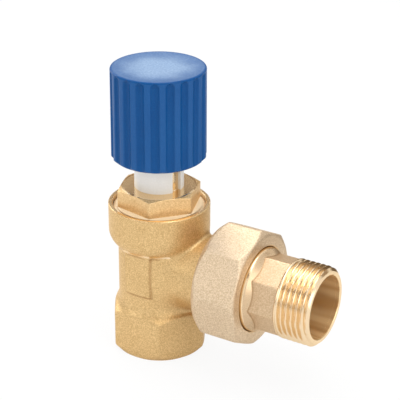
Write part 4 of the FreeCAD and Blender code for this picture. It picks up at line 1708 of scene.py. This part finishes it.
    def outlet_cutter(self, material: bpy.types.Material) -> bpy.types.Object:
        """Builds what is cut away about the outlet's axis: the passage and the bore.

        Args:
            material: Its material.

        Returns:
            The piece.
        """
        end = self.collar_end + 2 * MM
        corners = [
            Corner(self.seat_lip, 0.0),
            Corner(self.seat_lip, self.passage, WHOLE),
            Corner(self.collar_start - self.outlet_bore + self.passage, self.passage, WHOLE),
            Corner(self.collar_start, self.outlet_bore, WHOLE),
            Corner(end, self.outlet_bore, WHOLE),
            Corner(end, 0.0),
        ]
        return worked("outlet_cutter", corners, Axis.OUTLET, self.passage_segments, [], material)

    def build(self) -> None:
        """Builds the body in place of the plain one."""
        material = BodyBrass("body_brass", **DULLED).material()
        body = combined(self.skin(material), self.collar(material), Join.ADD)
        body = combined(body, self.stem_cutter(material), Join.CUT)
        body = combined(body, self.outlet_cutter(material), Join.CUT)
        body.name = body.data.name = "valve_body_shown"
        body.data.shade_smooth()
        body.data.set_sharp_from_angle(angle=math.radians(self.sharp))
        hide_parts("valve_body")
        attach(body, "valve")
        log.info("%s: %d faces", body.name, len(body.data.polygons))


@dataclass
class Bonnet:
    """The bonnet with its seal and sleeve."""

    bottom: float = 0.0413
    cavity_radius: float = 0.010
    roof: float = 0.0515
    relief: float = 0.012
    thread_bottom: float = 0.0423
    thread_top: float = 0.0486
    thread_radius: float = 0.013
    thread_pitch: float = 0.0015
    thread_depth: float = 0.0009
    floor: float = 0.0505
    collar_radius: float = 0.0153
    collar_top: float = 0.0521
    collar_rise: float = 0.0007
    flats: float = 0.025
    sides: int = 6
    turn: float = math.radians(19.5)
    top: float = 0.0585
    face_radius: float = 0.01257
    crown_slope: float = math.radians(23.0)
    neck_radius: float = 0.0071
    neck_top: float = 0.076
    seals: tuple[float, float] = (0.0536, 0.0565)
    groove_radius: float = 0.00585
    groove_width: float = 0.0022
    bore: float = 0.00405
    neck_thread: float = 0.005
    neck_thread_start: float = 0.0581
    segments: int = 288

    def bonnet(self) -> None:
        """Builds the bonnet with its hexagonal head, threads and seal grooves."""
        soft, edge, groove = 0.25 * MM, 0.5 * MM, self.groove_width / 2.0
        corner = corner_radius(self.flats, self.sides)
        fall = (corner - self.face_radius) * math.tan(self.crown_slope)
        low, high = self.seals
        corners = [
            *stepped(self.cavity_radius, (self.bottom, self.relief)),
            Corner(self.thread_bottom, self.relief, WHOLE),
            Corner(self.thread_bottom + edge, self.thread_radius, self.thread_pitch / 10.0),
            *stepped(self.thread_radius, (self.thread_top, self.relief),
                     (self.floor, self.collar_radius)),
            Corner(self.collar_top - self.collar_rise - soft, self.collar_radius, 0.1 * MM),
            Corner(self.collar_top - self.collar_rise, self.collar_radius - soft, 0.4 * MM),
            Corner(self.collar_top, self.flats / 2.0 - 0.4 * MM, 0.1 * MM),
            Corner(self.collar_top, corner, 0.3 * MM),
            Corner(self.top - fall, corner, 0.15 * MM),
            Corner(self.top - 0.1 * MM, self.face_radius + 0.1 * MM, 0.1 * MM),
            Corner(self.top, self.face_radius - 0.15 * MM, 0.8 * MM),
            Corner(self.top, self.neck_radius + soft, 0.1 * MM),
            Corner(self.top + soft, self.neck_radius, 2 * MM),
            Corner(self.neck_top - edge, self.neck_radius, WHOLE),
            Corner(self.neck_top, self.neck_radius - edge, WHOLE),
            Corner(self.neck_top, self.neck_thread + edge, WHOLE),
            Corner(self.neck_top - edge, self.neck_thread, WHOLE),
            *stepped(self.neck_thread, (self.neck_thread_start, self.bore),
                     (high + groove, self.groove_radius), (high - groove, self.bore),
                     (low + groove, self.groove_radius), (low - groove, self.bore),
                     (self.roof, self.cavity_radius)),
        ]
        rules = [
            WrenchFlats(self.sides, self.flats, self.turn, self.collar_top + HAIR,
                        self.top - HAIR, softness=0.5 * MM),
            Thread(self.thread_radius, self.thread_depth, self.thread_pitch, self.thread_bottom,
                   self.thread_top),
        ]
        finish = BonnetBrass("bonnet_brass", blasted=from_screen(246, 214, 162),
                             blasted_dark=from_screen(208, 168, 114), **DULLED)
        material = finish.material()
        piece = worked("bonnet_shown", corners, Axis.STEM, self.segments, rules, material)
        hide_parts("bonnet")
        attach(piece, "valve")
        log.info("%s: %d faces", piece.name, len(piece.data.polygons))

    def build(self) -> None:
        """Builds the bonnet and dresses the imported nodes."""
        self.bonnet()
        dress("bonnet_oring", Seal("bonnet_seal"))
        dress("scale_sleeve", Plastic("sleeve_white", from_screen(226, 222, 216),
                                      from_screen(240, 238, 234), rough=0.36, texture=2200.0,
                                      texture_depth=0.00001, gloss=0.45))


@dataclass
class Works:
    """The spindle, the setting spring and the disc inside."""

    def build(self) -> None:
        """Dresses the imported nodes."""
        dress("adjusting_spindle", TurnedBrass("spindle_brass"))
        dress("spindle_oring_lower", Seal("lower_seal"))
        dress("spindle_oring_upper", Seal("upper_seal"))
        dress("spindle_stop_ring", Steel("stop_ring_steel"))
        dress("thrust_washer", Plastic("washer_white", from_screen(214, 210, 200),
                                       from_screen(230, 227, 220)))
        dress("spring_cup", TurnedBrass("cup_brass"))
        dress("guide_bush", Plastic("bush_white", from_screen(210, 206, 196),
                                    from_screen(228, 225, 218)))
        dress("preset_spring", Steel("spring_steel", rough=0.22))
        dress("disc_carrier", TurnedBrass("carrier_brass"))
        dress("disc_gasket", Seal("disc_seal"))
        dress("disc_washer", Steel("washer_steel"))
        dress("disc_screw", Steel("screw_steel"))


# Studio

MIDDLE = Vector((0.01, 0.0, 0.05))
WHITE = (1.0, 1.0, 1.0)


@dataclass(frozen=True)
class Lamp:
    """A soft square lamp that points at the valve."""

    name: str
    azimuth: float
    elevation: float
    distance: float
    size: float
    power: float

    def hang(self) -> None:
        """Hangs the lamp."""
        light = bpy.data.lights.new(self.name, "AREA")
        light.energy = self.power
        light.size = self.size
        lamp = bpy.data.objects.new(self.name, light)
        lamp.matrix_world = facing(self.azimuth, self.elevation, self.distance)
        bpy.context.scene.collection.objects.link(lamp)


def facing(azimuth: float, elevation: float, distance: float) -> Matrix:
    """Returns a placement that looks at the valve's middle.

    Args:
        azimuth: Degrees, as a camera at that azimuth would stand.
        elevation: Degrees above the horizon.
        distance: Metres from the valve's middle.

    Returns:
        The placement, which looks along its own minus Z.
    """
    turn, rise = math.radians(azimuth), math.radians(elevation)
    level = Vector((math.sin(turn), -math.cos(turn), 0.0)) * math.cos(rise)
    away = level + Vector((0.0, 0.0, math.sin(rise)))
    look = away.to_track_quat("Z", "Y").to_matrix().to_4x4()
    return Matrix.Translation(MIDDLE + away * distance) @ look


@dataclass(frozen=True)
class Card:
    """A dark card that only reflections see."""

    name: str
    azimuth: float
    elevation: float
    distance: float
    width: float
    height: float
    shade: float
    tone: Colour = (1.0, 0.74, 0.5)

    def stand(self) -> None:
        """Stands the card up."""
        material, board = new_material(self.name)
        glow = board.node("ShaderNodeEmission", inputs={"Color": self.tone, "Strength": self.shade})
        board.node("ShaderNodeOutputMaterial", inputs={"Surface": glow.outputs[0]})
        card = new_piece(self.name, sheet_mesh(self.name, self.width, self.height), material)
        card.matrix_world = facing(self.azimuth, self.elevation, self.distance)
        card.visible_camera = card.visible_diffuse = card.visible_shadow = False


@dataclass
class Studio:
    """Camera, floor, lamps and surroundings."""

    azimuth: float = 32.133
    elevation: float = 24.719
    distance: float = 0.4531
    aim_height: float = 0.05354
    aim_right: float = 0.00807
    lens: float = 122.71
    sensor: float = 36.0
    nearest: float = 0.01
    farthest: float = 20.0
    shift_x: float = 0.041
    shift_y: float = -0.005
    ambient: float = 0.8
    floor_side: float = 8.0
    floor_tone: Colour = (0.8, 0.8, 0.8)
    floor_glow: float = 0.9
    floor_mirrored: float = 0.3
    # azimuth, elevation, distance, size, power
    lamps: list[Lamp] = field(default_factory=lambda: [
        Lamp("left_lamp", -50.0, 35.0, 0.9, 0.8, 1.5),
        Lamp("right_lamp", 68.0, 22.0, 0.8, 0.6, 1.5),
        Lamp("high_lamp", 70.0, 58.0, 0.7, 0.2, 0.5),
        Lamp("edge_lamp", -105.0, 22.0, 0.8, 0.5, 1.4),
        Lamp("top_lamp", 212.0, 87.0, 0.5, 0.3, 0.8),
        Lamp("back_lamp", 226.0, 50.0, 0.7, 0.3, 0.95),
    ])
    # azimuth, elevation, distance, width, height, shade
    cards: list[Card] = field(default_factory=lambda: [
        Card("left_card", -75.0, 15.0, 0.6, 0.2, 0.6, 0.05),
        Card("right_card", 140.0, 8.0, 0.6, 0.25, 0.4, 0.35),
        Card("low_card", 150.0, -18.0, 0.13, 0.17, 0.08, 0.15),
        Card("side_card", 95.0, -16.0, 0.3, 0.2, 0.14, 0.55),
        Card("back_card", 212.0, 9.5, 0.7, 1.1, 0.46, 0.27),
        Card("horizon_card", -30.0, 3.0, 0.8, 1.0, 0.05, 0.12),
        Card("front_card", 10.0, 52.0, 0.6, 0.6, 0.14, 0.2),
        Card("corner_card", -42.0, 40.0, 0.6, 0.5, 0.09, 0.1),
    ])

    def camera(self) -> None:
        """Puts up the camera at the photograph's place."""
        turn, rise = math.radians(self.azimuth), math.radians(self.elevation)
        right = Vector((math.cos(turn), math.sin(turn), 0.0))
        level = Vector((-math.sin(turn), math.cos(turn), 0.0))
        forward = level * math.cos(rise) - Vector((0.0, 0.0, math.sin(rise)))
        up = right.cross(forward)
        data = bpy.data.cameras.new("camera")
        data.lens = self.lens
        data.sensor_width = self.sensor
        data.shift_x = self.shift_x
        data.shift_y = self.shift_y
        data.clip_start = self.nearest
        data.clip_end = self.farthest
        eye = bpy.data.objects.new("camera", data)
        aim = Vector((0.0, 0.0, self.aim_height))
        place = aim - forward * self.distance + right * self.aim_right
        axes = Matrix((right, up, -forward)).transposed().to_4x4()
        eye.matrix_world = Matrix.Translation(place) @ axes
        bpy.context.scene.collection.objects.link(eye)
        bpy.context.scene.camera = eye

    def seen_directly(self, board: Board, mirrored: float) -> Value:
        """Returns 1 for rays of the camera and through glass, and a given share for reflections.

        Args:
            board: The tree.
            mirrored: The share for reflections.

        Returns:
            The share, from 0 to 1.
        """
        path = board.node("ShaderNodeLightPath").outputs
        total = Value(board, path["Is Camera Ray"]) + Value(board, path["Is Glossy Ray"]) * mirrored
        return (total + Value(board, path["Is Transmission Ray"])).clamped()

    def floor(self) -> None:
        """Lays the pale floor, which keeps the valve's shadow."""
        material, board = new_material("floor_white")
        plain = board.node("ShaderNodeBsdfDiffuse", inputs={"Color": self.floor_tone})
        glow = board.node("ShaderNodeEmission", inputs={"Color": WHITE, "Strength": 1.0})
        share = self.seen_directly(board, self.floor_mirrored / self.floor_glow) * self.floor_glow
        both = board.node("ShaderNodeMixShader", inputs={
            0: share, 1: plain.outputs[0], 2: glow.outputs[0],
        })
        board.node("ShaderNodeOutputMaterial", inputs={"Surface": both.outputs[0]})
        mesh = sheet_mesh("floor", self.floor_side, self.floor_side)
        new_piece("floor", mesh, material)

    def surroundings(self) -> None:
        """Makes the world white to look at, and dimmer as a light."""
        world = bpy.data.worlds.new("studio")
        world.use_nodes = True
        world.node_tree.nodes.clear()
        board = Board(world.node_tree)
        dim = board.node("ShaderNodeBackground", inputs={"Color": WHITE, "Strength": self.ambient})
        white = board.node("ShaderNodeBackground", inputs={"Color": WHITE, "Strength": 1.0})
        both = board.node("ShaderNodeMixShader", inputs={
            0: self.seen_directly(board, 1.0), 1: dim.outputs[0], 2: white.outputs[0],
        })
        board.node("ShaderNodeOutputWorld", inputs={"Surface": both.outputs[0]})
        bpy.context.scene.world = world

    def build(self) -> None:
        """Sets up the whole studio."""
        bpy.context.scene.view_settings.view_transform = "Standard"
        self.camera()
        self.floor()
        self.surroundings()
        for item in self.lamps:
            item.hang()
        for item in self.cards:
            item.stand()


def main() -> None:
    """Builds the scene and notes its size."""
    logging.basicConfig(level=logging.INFO, format="%(name)s: %(message)s")
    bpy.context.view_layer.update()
    Studio().build()
    Forging().build()
    Bonnet().build()
    Works().build()
    Outlet().build()
    Knob().build()
    bpy.context.view_layer.update()


if __name__ == "__main__":
    main()
